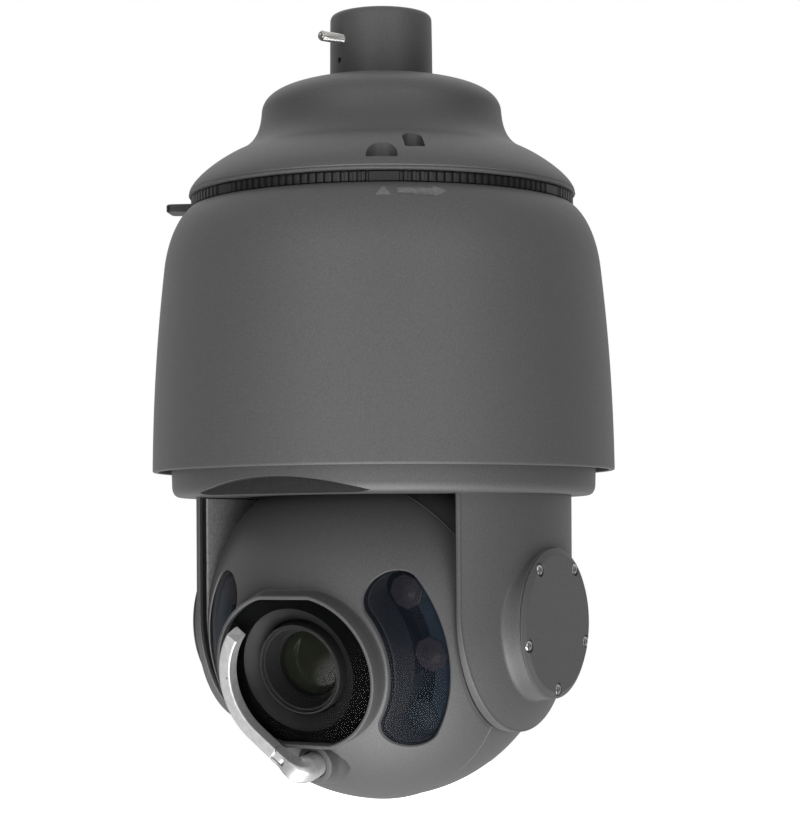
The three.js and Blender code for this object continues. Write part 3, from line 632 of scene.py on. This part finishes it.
# ---- pan base
def dome(sphere, start, end, steps):
    """A line of (radius, z) over the top of a ball about the tilt axis."""
    radii = [start + (end - start) * i / steps for i in range(steps + 1)]
    return [(r, TILT_Z + sqrt(sphere * sphere - r * r)) for r in radii]


def pan_base():
    radius, bottom, wall = BASE["radius"], BASE["bottom"], BASE["wall"]
    top, clear = -224, 91  # the hidden upper edge, and the radius of the hollow over the ball
    crown, spindle, post = -209.5, 14, 22  # the post's top, its bore and its radius
    bore = sqrt(clear * clear - (bottom - TILT_Z) ** 2)
    outside = [(radius - wall, top), (radius, top), (radius - 0.3, bottom + 5)]
    outside += curve((radius - 0.3, bottom + 5), (radius - 0.5, bottom + 2.2), (radius - 1.6, bottom),
                     (radius - 4.6, bottom), 12)
    inside = [(bore + 0.8, bottom), (bore + 0.1, bottom + 0.5)] + dome(clear, bore, spindle, 24)
    inside += [(spindle, crown), (post, crown)] + dome(clear + wall, post + 2, 66, 12)
    inside += [(70, bottom + wall), (radius - 4.5, bottom + wall)]

    # The scallop over the lens is cut back to a flatter wall of its own, which is deepest in the middle.
    half_span, rise, wall_depth, wall_radius = 51, 8, radius - 10, 353
    arch_radius = (half_span ** 2 + rise ** 2) / (2 * rise)
    spread = asin(half_span / arch_radius)
    front = Matrix(((1, 0, 0, 0), (0, 0, -1, 0), (0, 1, 0, bottom), (0, 0, 0, 1)))  # x right, y up, z to the front

    def archway(shrink):
        arch = arc(0, rise - arch_radius, arch_radius - shrink, pi / 2 - spread, pi / 2 + spread, 64)
        return prism(arch + [(-half_span, -3), (half_span, -3)], 60, radius + 5, front)

    def wall_line(depth, reach):
        return [(x, x * x / (2 * wall_radius) - depth) for x in (reach * (k / 24 - 1) for k in range(49))]

    def filled(inset):
        """The base's outer shape without its hollow, and a little smaller."""
        return revolve([(0, top)] + [(r - inset, z) for r, z in outside[1:]] + [(0, bottom)], 256)

    # What stays behind the wall, a near-black sheet on it and a near-black ceiling over the arch: painted shade that
    # darkens the recess.
    core = prism(wall_line(wall_depth, 60) + [(60, 0), (-60, 0)], bottom - 5, top)
    scallop = cut(archway(0), core)
    sheet = prism(wall_line(wall_depth + 0.12, half_span) + wall_line(wall_depth - 1.3, half_span)[::-1],
                  bottom + 0.05, bottom + 11)
    hood = keep(sheet, filled(0.1))
    block = prism([(-54, 0.5), (54, 0.5), (54, 11), (-54, 11)], 86, radius, front)
    ceiling = keep(cut(block, archway(0.1)), filled(4))
    body = cut(revolve(outside + inside, 256), scallop)
    piece("base_body", body, PAINT, "pan", ["pan_base"])
    # The sheet and the ceiling are near-black: painted shade in the scallop's recess.
    piece("base_shade_sheet", hood, SCALLOP_SHADE, "pan")
    piece("base_shade_ceiling", ceiling, SCALLOP_SHADE, "pan")


# ---- yoke arms
def arm_outline_radius(angle, inset, top_inset=0.0):
    """Distance from the hub's centre to the arm's outline, in the hub's frame."""
    c, s = cos(angle), sin(angle)
    half, top = ARM["half"] - inset, ARM["top"] - top_inset
    side = half / max(abs(c), 1e-9)
    if side * s >= ARM["arc"]:
        return min(side, top / s)
    return ARM["arc"] * s + sqrt(half * half - (ARM["arc"] * c) ** 2)


def envelope(x, y, radius):
    """How far out the arm's skin lies: round about Z above the tilt axis and a ball below it."""
    below = min(0, y)
    return sqrt(radius * radius - x * x - below * below)


def arm(side):
    """A hollow arm as sections round its hub: the boss, the skin, the rounded edge, the seat and the inside."""
    inner, top, bore, boss = ARM["inner"], ARM["top"], HUB["bore"], HUB["rim"]
    boss_top = HUB_FACE[side] - 2.5
    slope = (HUB["root"] - boss) / 10.5  # the boss widens this much a millimetre
    corner = atan2(top, ARM["half"])
    angles = [tau * i / 288 for i in range(288)] + [corner, pi - corner]
    sections = []
    for angle in sorted(angles):
        c, s = cos(angle), sin(angle)

        def skin(r, radius=ARM["outer"]):
            return envelope(r * c, r * s, radius)

        path = [(bore, boss_top), (boss - 0.5, boss_top)]
        if skin(boss) < boss_top - 0.4:
            # The boss stands proud here. Find where its cone meets the arm's skin.
            foot, beyond = boss, HUB["root"] + 4
            for _ in range(30):
                middle = (foot + beyond) / 2
                if boss_top - (middle - boss) / slope > skin(middle):
                    foot = middle
                else:
                    beyond = middle
            foot_x = skin(foot)
            start = foot + 0.9
            path += [(boss, boss_top - 0.5), (boss + (foot - boss) * 0.5, (boss_top + foot_x) / 2),
                     (foot - 0.35 * slope * 3, foot_x + 0.9), (foot + 0.2, foot_x + 0.25)]
        else:
            foot_x = min(boss_top, skin(boss))
            start = boss + 0.9
            path += [(boss + step, foot_x) for step in (0, 0.2, 0.4, 0.6)]
        rim = arm_outline_radius(angle, 0)
        edge = 0.15 if abs(rim * s - top) < 1e-6 else 0.7
        last = rim - edge
        for k in range(25):
            r = start + (last - start) * k / 24
            path.append((r, skin(r)))
        edge_x = skin(last)
        for k in range(1, 6):
            t = k / 5 * pi / 2
            path.append((last + edge * sin(t), edge_x - edge * (1 - cos(t))))
        seat, pocket = arm_outline_radius(angle, 2.4, 0.4), arm_outline_radius(angle, 10, 10)
        path += [(rim, inner + 0.4), (rim - 0.35, inner), (seat, inner), (seat, inner + 2.4), (pocket, inner + 2.4)]
        for k in range(7):
            r = pocket + (bore - pocket) * k / 6
            path.append((r, max(inner + 2.5, skin(r, ARM["outer"] - ARM["wall"]))))
        sections.append(turned(path, angle))
    body = torus_grid(sections, HUB_SIDE[side])
    piece(f"{side}_arm_body", body, PAINT, "pan", [f"{side}_arm"], sharp=30)


def arm_outline(inset, top_inset):
    half, top = ARM["half"] - inset, ARM["top"] - top_inset
    return arc(0, ARM["arc"], half, pi, tau, 64) + [(half, top), (-half, top)]


def plate(outline_at, z0, z1, edge, place):
    """A plate whose outline at an inset is outline_at(inset), with small round edges."""
    stations = ((z0, edge), (z0 + 0.3 * edge, 0.3 * edge), (z0 + edge, 0),
                (z1 - edge, 0), (z1 - 0.3 * edge, 0.3 * edge), (z1, edge))
    return loft([level(outline_at(inset), z) for z, inset in stations], place)


def arm_inside(side):
    """The cover that closes the arm and the gasket round it."""
    inner, place = ARM["inner"], HUB_SIDE[side]
    cover = plate(lambda inset: arm_outline(7.4 + inset, 0.5 + inset), inner, inner + 2, 0.4, place)
    body = cut(cover, turned_cutter(9.9, inner - 2, inner + 12, place, 48))
    # The cover's light grey is painted light.
    piece(f"{side}_cover_body", body, COVER_PAINTED_LIGHT, "pan", [f"{side}_arm_cover"])
    gasket = cut(prism(arm_outline(2.8, 0.6), inner + 1, inner + 2.2, place),
                 prism(arm_outline(7.1, -1), inner, inner + 3, place))
    piece(f"{side}_gasket_body", gasket, RUBBER, "pan", [f"{side}_arm_gasket"])


def screw_spots(z):
    """Frames on the right hub's bolt circle, pointing out."""
    angles = [(2 * i / 5 - 0.5) * pi for i in range(5)]
    return [HUB_SIDE["right"] @ at(HUB["bolts"] * cos(a), HUB["bolts"] * sin(a), z) for a in angles]


def hub_cover(side):
    """A flat cover with a bevelled edge. Only the right one has screws, each in its own well."""
    face, cover, flat, spigot = HUB_FACE[side], HUB["cover"], HUB["face"], HUB["bore"] - 0.3
    inner = face - 2.2
    profile = [(0, inner - 2), (spigot, inner - 2), (spigot, inner), (cover - 0.2, inner), (cover, inner + 0.15),
               (cover, inner + 0.45), (cover - 0.15, inner + 0.6), (flat + 0.2, face - 0.1), (flat - 0.2, face),
               (0, face)]
    body = revolve(profile, 160, HUB_SIDE[side])
    if side == "right":
        body = cut(body, *[turned_cutter(3.35, face - 1.7, face + 1, spot, 40) for spot in screw_spots(0)])
    piece(f"{side}_hub_body", body, PAINT, "pan", [f"{side}_hub_cover"], sharp=12)


def hub_screws():
    """Button-head screws with a hexagon socket."""
    head = [(0, -4), (1.5, -4), (1.5, 0), (2.7, 0), (2.85, 0.15)]
    head += curve((2.85, 0.15), (2.7, 1.1), (1.9, 1.6), (1.2, 1.6), 8) + [(0, 1.6)]
    for i, spot in enumerate(screw_spots(HUB_FACE["right"] - 1.6)):
        twist = bearing(0.4 + 1.1 * i)
        socket = prism(circle(0, 0, 1.2, 6), 0.5, 3, spot @ twist)
        body = cut(revolve(head, 48, spot), socket)
        piece(f"hub_screw_{i + 1}_body", body, STEEL, "pan", [f"hub_screw_{i + 1}"])


# ---- the ball's shells
def shell_grid_angles(count):
    """Angles round the lens, with one at each corner of the flats and of the collar."""
    angles = [tau * i / count for i in range(count)]
    ball = sqrt(BALL["radius"] ** 2 - BALL["seam"] ** 2)
    corners = [acos(BALL["flat"] / ball)]
    for shape in (COLLAR, OPENING):
        end = asin(shape["flat"] / shape["radius"])
        x = shape["offset"] + shape["radius"] * cos(end)
        corners.append(atan2(shape["flat"], x))
    for corner in corners:
        angles += [corner, pi - corner, pi + corner, tau - corner]
    return sorted(set(round(a, 6) for a in angles))


def front_shell():
    """The shell round the lens: a ball with flat sides, an oval collar, the lamps' slots and the wiper's boss."""
    radius, wall, flat, seam = BALL["radius"], BALL["wall"], BALL["flat"], BALL["seam"]
    inner, front, fillet, lip = radius - wall, COLLAR_FRONT, 1.6, 3.4
    seat, ceiling = 82.6, 79  # the step that the pane sits on, and the underside of the collar
    seam_radius = sqrt(radius ** 2 - seam ** 2)

    def ball_z(r):
        return sqrt(radius * radius - r * r)

    sections = []
    for angle in shell_grid_angles(320):
        across = max(abs(cos(angle)), 1e-9)
        collar, mouth = oval_radius(COLLAR, angle), oval_radius(OPENING, angle)
        foot = collar + fillet
        wall_z = ball_z(foot) + fillet * 0.9
        path = [(mouth - lip, seat), (mouth, seat), (mouth, front - 0.5), (mouth + 0.15, front - 0.15),
                (mouth + 0.5, front), (collar - 0.7, front), (collar - 0.2, front - 0.2), (collar, front - 0.7),
                (collar, max(wall_z, front - 6) if wall_z < front - 1 else front - 0.9),
                (collar, min(wall_z, front - 1))]
        for t in (0.25, 0.5, 0.75):
            a = t * pi / 2
            blend_z = wall_z + (ball_z(foot) - wall_z) * sin(a)
            path.append((collar + fillet * (1 - cos(a)), min(blend_z, front - 1.05)))
        edge = min(seam_radius, flat / across)
        last = edge - 0.6
        for k in range(45):
            r = foot + (last - foot) * k / 44
            path.append((r, ball_z(r)))
        drop = ball_z(edge) if edge < seam_radius - 1e-6 else seam + 0.4
        inside = min(sqrt(inner ** 2 - seam ** 2), (flat - wall) / across)
        path += [(edge - 0.3, max(seam + 0.5, drop + 0.05)), (edge - 0.08, max(seam + 0.38, drop - 0.2)),
                 (edge, max(seam + 0.25, drop - 0.6)), (edge, seam + 0.2), (inside, seam + 0.2),
                 (inside, max(seam + 0.3, sqrt(max(inner ** 2 - inside ** 2, 0))))]
        for k in range(1, 13):
            r = inside + (mouth - lip - inside) * k / 12
            path.append((r, min(sqrt(inner * inner - r * r), ceiling)))
        sections.append(turned(path, angle))

    clear, chamfer = 0.25, 0.75
    slots = []
    for sign in SIDES.values():
        narrow, wide = (band(IR["half"] + clear + grow, sign) for grow in (0, chamfer))
        slots.append(loft([level(narrow, 30), on_ball(narrow, radius - chamfer), on_ball(wide, radius + 0.02),
                           level(wide, 92)], LENS))
    pivot = LENS @ at(0, WIPER["pivot"], 0)
    boss = revolve([(0, 70), (13.6, 70), (12.6, 73.4), (11.4, 75), (10.2, 77.4), (9.6, 80.2), (9.3, 80.8),
                    (8.8, 81), (0, 81)], 96, pivot)
    hole = turned_cutter(WIPER["hole"], 60, 92, pivot, 64)
    body = cut(join(torus_grid(sections, LENS), boss), hole, *slots)
    piece("front_shell_body", body, PAINT, "head", ["front_shell"], sharp=30)


def rear_shell():
    """The shell behind the seam, a little smaller than the front one and open where the tilt shafts go in."""
    radius, wall, flat, start = BALL["radius"] - 1.0, BALL["wall"], BALL["flat"], BALL["seam"] - 0.2
    inner = radius - wall
    sections = []
    for angle in shell_grid_angles(256):
        across = max(abs(cos(angle)), 1e-9)
        # Down the outside from the seam to the pole at the back, and back up the inside.
        path = [(min(sqrt(radius * radius - z * z), flat / across) - step, z)
                for z, step in ((start, 0.3), (start - 0.3, 0))]
        for k in range(1, 49):
            t = k / 48
            a = asin(start / radius) * (1 - t) - pi / 2 * t
            path.append((min(radius * cos(a), flat / across) if k < 48 else 0, radius * sin(a)))
        for k in range(17):
            t = k / 16
            a = -pi / 2 * (1 - t) + asin(start / inner) * t
            path.append((min(inner * cos(a), (flat - wall) / across) if k > 0 else 0, inner * sin(a)))
        sections.append(turned(path, angle))
    hole = turned_cutter(9.4, -95, 95, YOKE @ Matrix.Rotation(pi / 2, 4, "Y"), 48)
    piece("rear_shell_body", cut(torus_grid(sections, LENS), hole), PAINT, "head", ["rear_shell"], sharp=30)


# ---- infrared lamps
def curved_window(side):
    """A window that follows the ball, as rings of one half width and one radius each: inner face, edge, outer face."""
    radius, thick, half = BALL["radius"] - 0.25, 2.4, IR["half"]
    shares = (0.002, 0.25, 0.5, 0.75, 0.93)
    rings = [(half * share, radius - thick) for share in shares]
    rings += [(half, radius - thick), (half, radius - 0.35), (half - 0.12, radius - 0.1), (half - 0.4, radius)]
    rings += [(half * share, radius) for share in reversed(shares)]
    return loft([on_ball(band(width, SIDES[side]), size) for width, size in rings], LENS)


def lamps(side):
    sign, floor, half = SIDES[side], IR["floor"], IR["half"] - 0.3
    piece(f"ir_window_{side}_body", curved_window(side), IR_GLASS, "head", [f"ir_window_{side}"],
          sharp=40)

    # The well's wall runs back from the window to the lamp floor.
    outer = band(half, sign)
    inner = band(half - 0.8, sign)
    wall_rings = [level(outer, floor), on_ball(outer, BALL["radius"] - 3.1), on_ball(inner, BALL["radius"] - 3.3),
                  level(inner, floor)]
    well = torus_grid(list(zip(*wall_rings)), LENS)
    piece(f"lamp_well_{side}", well, WELL, "head", [f"ir_lens_{side}"], sharp=40)
    base = prism(band(half - 1.0, sign), floor - 9.4, floor - 8.6, LENS)  # dark, behind the plate
    piece(f"lamp_floor_{side}", base, LAMP_FLOOR, "head")

    # A moulded plate with three lenses in it.
    plate_outline = arc(0, 0, IR["radius"] + half - 1.2, -0.62, 0.62, 48)
    plate_outline += arc(0, 0, IR["radius"] + 1.5, 0.6, -0.6, 48)
    plate_body = prism([(sign * x, y) for x, y in plate_outline], floor - 2.2, floor, LENS)
    piece(f"lamp_plate_{side}", plate_body, LAMP_PLATE, "head")
    profile = [(0, -7), (4.5, -7), (8.6, -0.6), (8.6, 0.4), (8.2, 0.7), (5.5, 0.9), (4.2, 1.3), (2.2, 2.0), (0, 2.2)]
    for i, angle in enumerate((radians(-33), 0, radians(33))):
        place = LENS @ at(sign * IR["radius"] * cos(angle), IR["radius"] * sin(angle), floor)
        # The lowest lens takes the teal tint: a painted reflection, not a different lens.
        tint = LAMP_LENS_SHEEN if i == 0 else LAMP_LENS
        piece(f"lamp_lens_{side}_{i + 1}", revolve(profile, 8, place), tint, "head", sharp=12)


# ---- window and zoom lens
def window():
    """The pane, the printed mask behind it, and what shows through: a tunnel, the barrel with two lighter rings that
    are painted highlights on its rims, and the front element.
    """
    fit = -0.3
    glass = plate(lambda inset: oval(OPENING, fit - inset), 84.2, 87.2, 0.25, LENS)
    piece("window_pane", glass, WINDOW, "head", ["window_glass"])
    mask = cut(prism(oval(OPENING, fit), 83.0, 83.9, LENS), turned_cutter(30.4, 80, 90, LENS, 128))
    piece("window_mask", mask, MASK, "head", ["window_gasket"])
    tunnel = revolve([(30.6, 82.9), (31.8, 82.9), (31.8, 81.6), (24.4, 77.2), (24.4, 70), (23.4, 70), (23.4, 77.7)],
                     160, LENS)
    piece("lens_tunnel", tunnel, INNER_BLACK, "head", ["lens_baffle"])
    barrel_profile = [(0, 50.3), (22.3, 50.3), (22.3, 81.6), (22.1, 82.1), (21.7, 82.4), (21.2, 82.4), (20.9, 82.1),
                      (20.6, 81.2), (20.1, 81.2), (19.8, 80.6), (19.4, 80.6), (17.2, 74.8), (16.9, 74.8),
                      (16.6, 73.6), (16.3, 73.6), (16.3, 68), (0, 68)]
    piece("zoom_barrel", revolve(barrel_profile, 160, LENS), INNER_BLACK, "head", ["lens_barrel"])
    # Two thin lighter rings on the barrel's rims are painted highlights.
    for i, (radius, z) in enumerate(((21.5, 82.42), (19.9, 81.22))):
        inner, outer = radius - 0.22, radius + 0.22
        line = revolve([(inner, z - 0.05), (outer, z - 0.05), (outer, z), (inner, z)], 160, LENS)
        piece(f"lens_ring_{i + 1}", line, RING_HIGHLIGHT, "head")
    lens_profile = [(0, 68.3), (16.0, 68.3), (16.0, 70.6)]
    rim, bulge = 15.8, 2.9
    for k in range(13):
        r = rim * (1 - k / 12)
        lens_profile.append((r, 70.8 + bulge * (1 - (r / rim) ** 2)))
    piece("front_element", revolve(lens_profile, 128, LENS), LENS_GLASS, "head", ["front_lens"])


# ---- wiper
def on_arc(angle, across, out):
    """A point on the wiper's arc, 'across' towards the arc's middle."""
    radius = WIPER["arc"] - across
    return (WIPER["arc_x"] + radius * cos(angle), WIPER["arc_z"] + radius * sin(angle), out)


LEAVE = Vector(on_arc(WIPER["straight"], 0, 0)[:2])  # where the straight stretch leaves the arc
ALONG = Vector((-sin(WIPER["straight"]), cos(WIPER["straight"])))  # and the direction it runs in
PIN_DEPTH = (WIPER["back"] + WIPER["front"]) / 2
# A frame for outlines of (along the straight, out), pushed across the wiper.
HINGE_SIDE = Matrix(((ALONG.x, 0, ALONG.y, LEAVE.x), (ALONG.y, 0, -ALONG.x, LEAVE.y), (0, 1, 0, 0), (0, 0, 0, 1)))


def on_straight(s, across, out):
    return (*(LEAVE + ALONG * s + Vector((-ALONG.y, ALONG.x)) * across), out)


def bar_section(left, right, back, front, edge, steps):
    """The section of the wiper's bars: (across, out) with round corners."""
    return rounded([(left, back, edge), (right, back, edge), (right, front, edge), (left, front, edge)], steps, True)


def wiper_arm():
    """A bar along the arc and its tangent, with a leaning tip, a tongue for the hinge, and the rubber under it."""
    back, front, half, tongue = WIPER["back"], WIPER["front"], WIPER["width"] / 2, WIPER["tongue"] / 2
    section = bar_section(-half, half, back, front, 0.7, 3)
    start, end = WIPER["tip"], WIPER["straight"]
    tip = [on_arc(start - radians(4.5) * (back + 3.4 - out) / 3.4 * 0.5 + radians(1.2), across, out)
           for across, out in section]
    rings = [tip] + [[on_arc(start + (end - start) * k / 60, *p) for p in section] for k in range(1, 61)]
    rings += [[on_straight(s, *p) for p in section] for s in (2, 6, 10, 14, WIPER["pin"])]
    shoulder = prism(circle(WIPER["pin"], PIN_DEPTH, WIPER["knuckle"] + 0.3, 64), -5, 5, HINGE_SIDE)
    beam = cut(loft(rings), shoulder)
    round_end, root = 2.9, 11  # the tongue's half height, and how far back in the bar it starts
    tongue_outline = arc(WIPER["pin"], PIN_DEPTH, round_end, -pi / 2, pi / 2, 24)
    tongue_outline = [(root, PIN_DEPTH - round_end)] + tongue_outline + [(root, PIN_DEPTH + round_end)]
    hole = turned_cutter(0.55, front - 1.2, front + 1, at(*on_arc(radians(176), 1.4, 0)), 20)
    body = cut(cast(0.16, 3, beam, prism(tongue_outline, -tongue, tongue, HINGE_SIDE)), hole)
    bmesh.ops.transform(body, matrix=LENS, verts=body.verts)
    piece("wiper_arm_body", body, ALUMINIUM, "wiper_arm", ["wiper_arm"], sharp=80)

    rubber = ((-1.3, 88.7), (1.3, 88.7), (1.3, 88.2), (0.35, 87.75), (-0.35, 87.75), (-1.3, 88.2))
    inset = radians(4)  # the rubber starts this far from the tip
    rings = [[on_arc(start + inset + (end - start - inset) * k / 48, *p) for p in rubber] for k in range(49)]
    piece("wiper_rubber", loft(rings, LENS), RUBBER, "wiper_arm", ["wiper_blade"])


def wiper_hub():
    """The elbow casting: two cheeks round the tongue, then a bar that sweeps inward and becomes the shaft."""
    pivot, pin, shaft, knuckle_radius = WIPER["pivot"], WIPER["pin"], WIPER["shaft"], WIPER["knuckle"]
    back, front, half, tongue = WIPER["back"], WIPER["front"], WIPER["width"] / 2, WIPER["tongue"] / 2
    half_depth = (front - back) / 2
    stem = revolve([(0, 61.3), (3, 61.3), (3, 70), (shaft, 70), (shaft, 84.3), (0, 84.3)], 64, at(0, pivot, 0))
    path = [Vector(p) for p in (on_straight(pin, 0, PIN_DEPTH), on_straight(27.5, 0, PIN_DEPTH + 0.4),
                                (0, pivot, PIN_DEPTH + 1.2), (0, pivot, 80.5))]
    level_axis = Vector((0, 0, 1)).cross(path[1] - path[0]).normalized()
    rings = []
    for k in range(33):
        t = k / 32
        spot = sum((p * w for p, w in zip(path, cubic_weights(t))), Vector())
        speeds = ((1 - t) ** 2, 2 * t * (1 - t), t * t)
        heading = sum(((b - a) * w for a, b, w in zip(path, path[1:], speeds)), Vector()).normalized()
        across_axis = (level_axis - level_axis.dot(heading) * heading).normalized()
        out_axis = heading.cross(across_axis)
        # The bar grows from the cheeks' section to the shaft's round one.
        growth = min(1, 1.3 * t)
        wide, tall = half + (shaft - half) * growth, half_depth + (shaft - half_depth) * growth
        edge = 0.7 + (min(wide, tall) - 0.75) * min(1, max(0, (t - 0.25) / 0.6))
        rings.append([tuple(spot + across_axis * across + out_axis * out)
                      for across, out in bar_section(-wide, wide, -tall, tall, edge, 5)])
    lift = asin(half_depth / knuckle_radius)
    knuckle_outline = arc(pin, PIN_DEPTH, knuckle_radius, pi - lift, pi + lift, 16) + [(19, back), (19, front)]
    knuckle = prism(knuckle_outline, -half, half, HINGE_SIDE)
    gap = tongue + 0.25
    slot = prism([(8, back - 2), (20.4, back - 2), (20.4, front + 2), (8, front + 2)], -gap, gap, HINGE_SIDE)
    dimple = prism(circle(21.5, PIN_DEPTH, 0.7, 20), -half - 1.5, -half + 1, HINGE_SIDE)
    body = cut(cast(0.17, 6, cut(join(loft(rings), knuckle), slot), stem), dimple)
    bmesh.ops.transform(body, matrix=LENS, verts=body.verts)
    piece("wiper_hub_body", body, ALUMINIUM, "wiper_hub", ["wiper_hub"], sharp=80)


# ---- CAD nodes that stay
def dress_frame():
    """The inner CAD nodes keep their shapes and take a node-based material by their slot."""
    by_slot = {"paint": PAINT, "black_plastic": BLACK, "rubber": RUBBER, "steel": STEEL, "aluminium": ALUMINIUM,
               "board": BOARD, "dark_glass": LENS_GLASS, "lamp_lens": LAMP_LENS}
    for row in frame["record"]["subparts"]:
        mesh = frame["nodes"][row["node"]].data
        mesh.materials.clear()
        mesh.materials.append(by_slot[row["material_slot"]])


# ---- stage, light and camera
def stage():
    """A pale floor well below the camera. It glows evenly, like a light table, and lights nothing itself."""
    mat = material("pale_floor", (0.86, 0.86, 0.86), 0.9)
    mottle(mat, 3, (0.85, 0.85, 0.85), (0.87, 0.87, 0.87))
    fill(shader(mat), {"Emission Color": (1, 1, 1, 1), "Emission Strength": 0.9})
    bm = bmesh.new()
    bmesh.ops.create_circle(bm, cap_ends=True, segments=96, radius=14)
    floor = new_object("floor", as_mesh(bm, "floor"))
    floor.location.z = -1.6
    floor.visible_glossy = floor.visible_diffuse = floor.visible_shadow = False
    floor.data.materials.append(mat)


def direction(azimuth, elevation):
    """Azimuth to the right from the lens's bearing, and elevation above the horizon, in degrees."""
    a, e = radians(azimuth), radians(elevation)
    return (sin(a) * cos(e), -cos(a) * cos(e), sin(e))


def studio():
    """The room round the object: soft light sources with smooth edges, and plain white to the camera."""
    world = bpy.data.worlds.new("studio")
    world.use_nodes = True
    nodes, links = world.node_tree.nodes, world.node_tree.links
    place = nodes.new("ShaderNodeTexCoord")
    # Towards, angle where it starts, angle where it is full, radiance.
    sources = [
        (direction(27, -55), 50, 0, 5.9),  # pale table below, in front
        (direction(2, 15), 25, 4, 1.7),  # softbox in front of the lens
        (direction(60, 15), 25, 4, 1.5),  # softbox to the right of the viewer
        (direction(210, 5), 85, 45, 0.6),  # sweep behind
        (direction(0, 90), 80, 10, 0.8),  # overhead
        (direction(0, 90), 120, 80, 0.05),  # the room
    ]
    total = None
    for toward, outer, inner, radiance in sources:
        dot = nodes.new("ShaderNodeVectorMath")
        dot.operation = "DOT_PRODUCT"
        fill(dot, {1: toward})
        links.new(place.outputs["Generated"], dot.inputs[0])
        edge = nodes.new("ShaderNodeMapRange")
        edge.interpolation_type = "SMOOTHSTEP"
        fill(edge, {"From Min": cos(radians(outer)), "From Max": cos(radians(inner)), "To Max": radiance})
        links.new(dot.outputs["Value"], edge.inputs["Value"])
        if total is None:
            total = edge.outputs["Result"]
            continue
        add = nodes.new("ShaderNodeMath")
        links.new(total, add.inputs[0])
        links.new(edge.outputs["Result"], add.inputs[1])
        total = add.outputs["Value"]
    ray = nodes.new("ShaderNodeLightPath")
    seen = fill(nodes.new("ShaderNodeMix"), {"B": 1})
    links.new(ray.outputs["Is Camera Ray"], seen.inputs["Factor"])
    links.new(total, seen.inputs["A"])
    links.new(seen.outputs["Result"], nodes["Background"].inputs["Strength"])
    fill(nodes["Background"], {"Color": (1, 1, 1, 1)})
    scene.world = world


def camera():
    """Nearly level, about 30 degrees round from the lens and 1.2 m away. The shift only frames the object."""
    azimuth, distance, height, roll = radians(30.5), 1.216, -0.2665, radians(0.355)
    data = bpy.data.cameras.new("camera")
    data.sensor_width = 36
    data.lens = 106.8
    data.shift_x, data.shift_y = 0.0193, 0.1695
    cam = new_object("camera", data)
    cam.location = (distance * sin(azimuth), -distance * cos(azimuth), height)
    cam.rotation_euler = (pi / 2, roll, azimuth)
    scene.camera = cam
    scene.view_settings.view_transform = "Standard"


camera()
studio()
stage()
dress_frame()
pendant_cap()
neck_set_screw()
lock_ring()
upper_housing()
printed_marks()
pan_base()
for side in ("right", "left"):
    arm(side)
    arm_inside(side)
    hub_cover(side)
    lamps(side)
hub_screws()
front_shell()
rear_shell()
window()
wiper_arm()
wiper_hub()
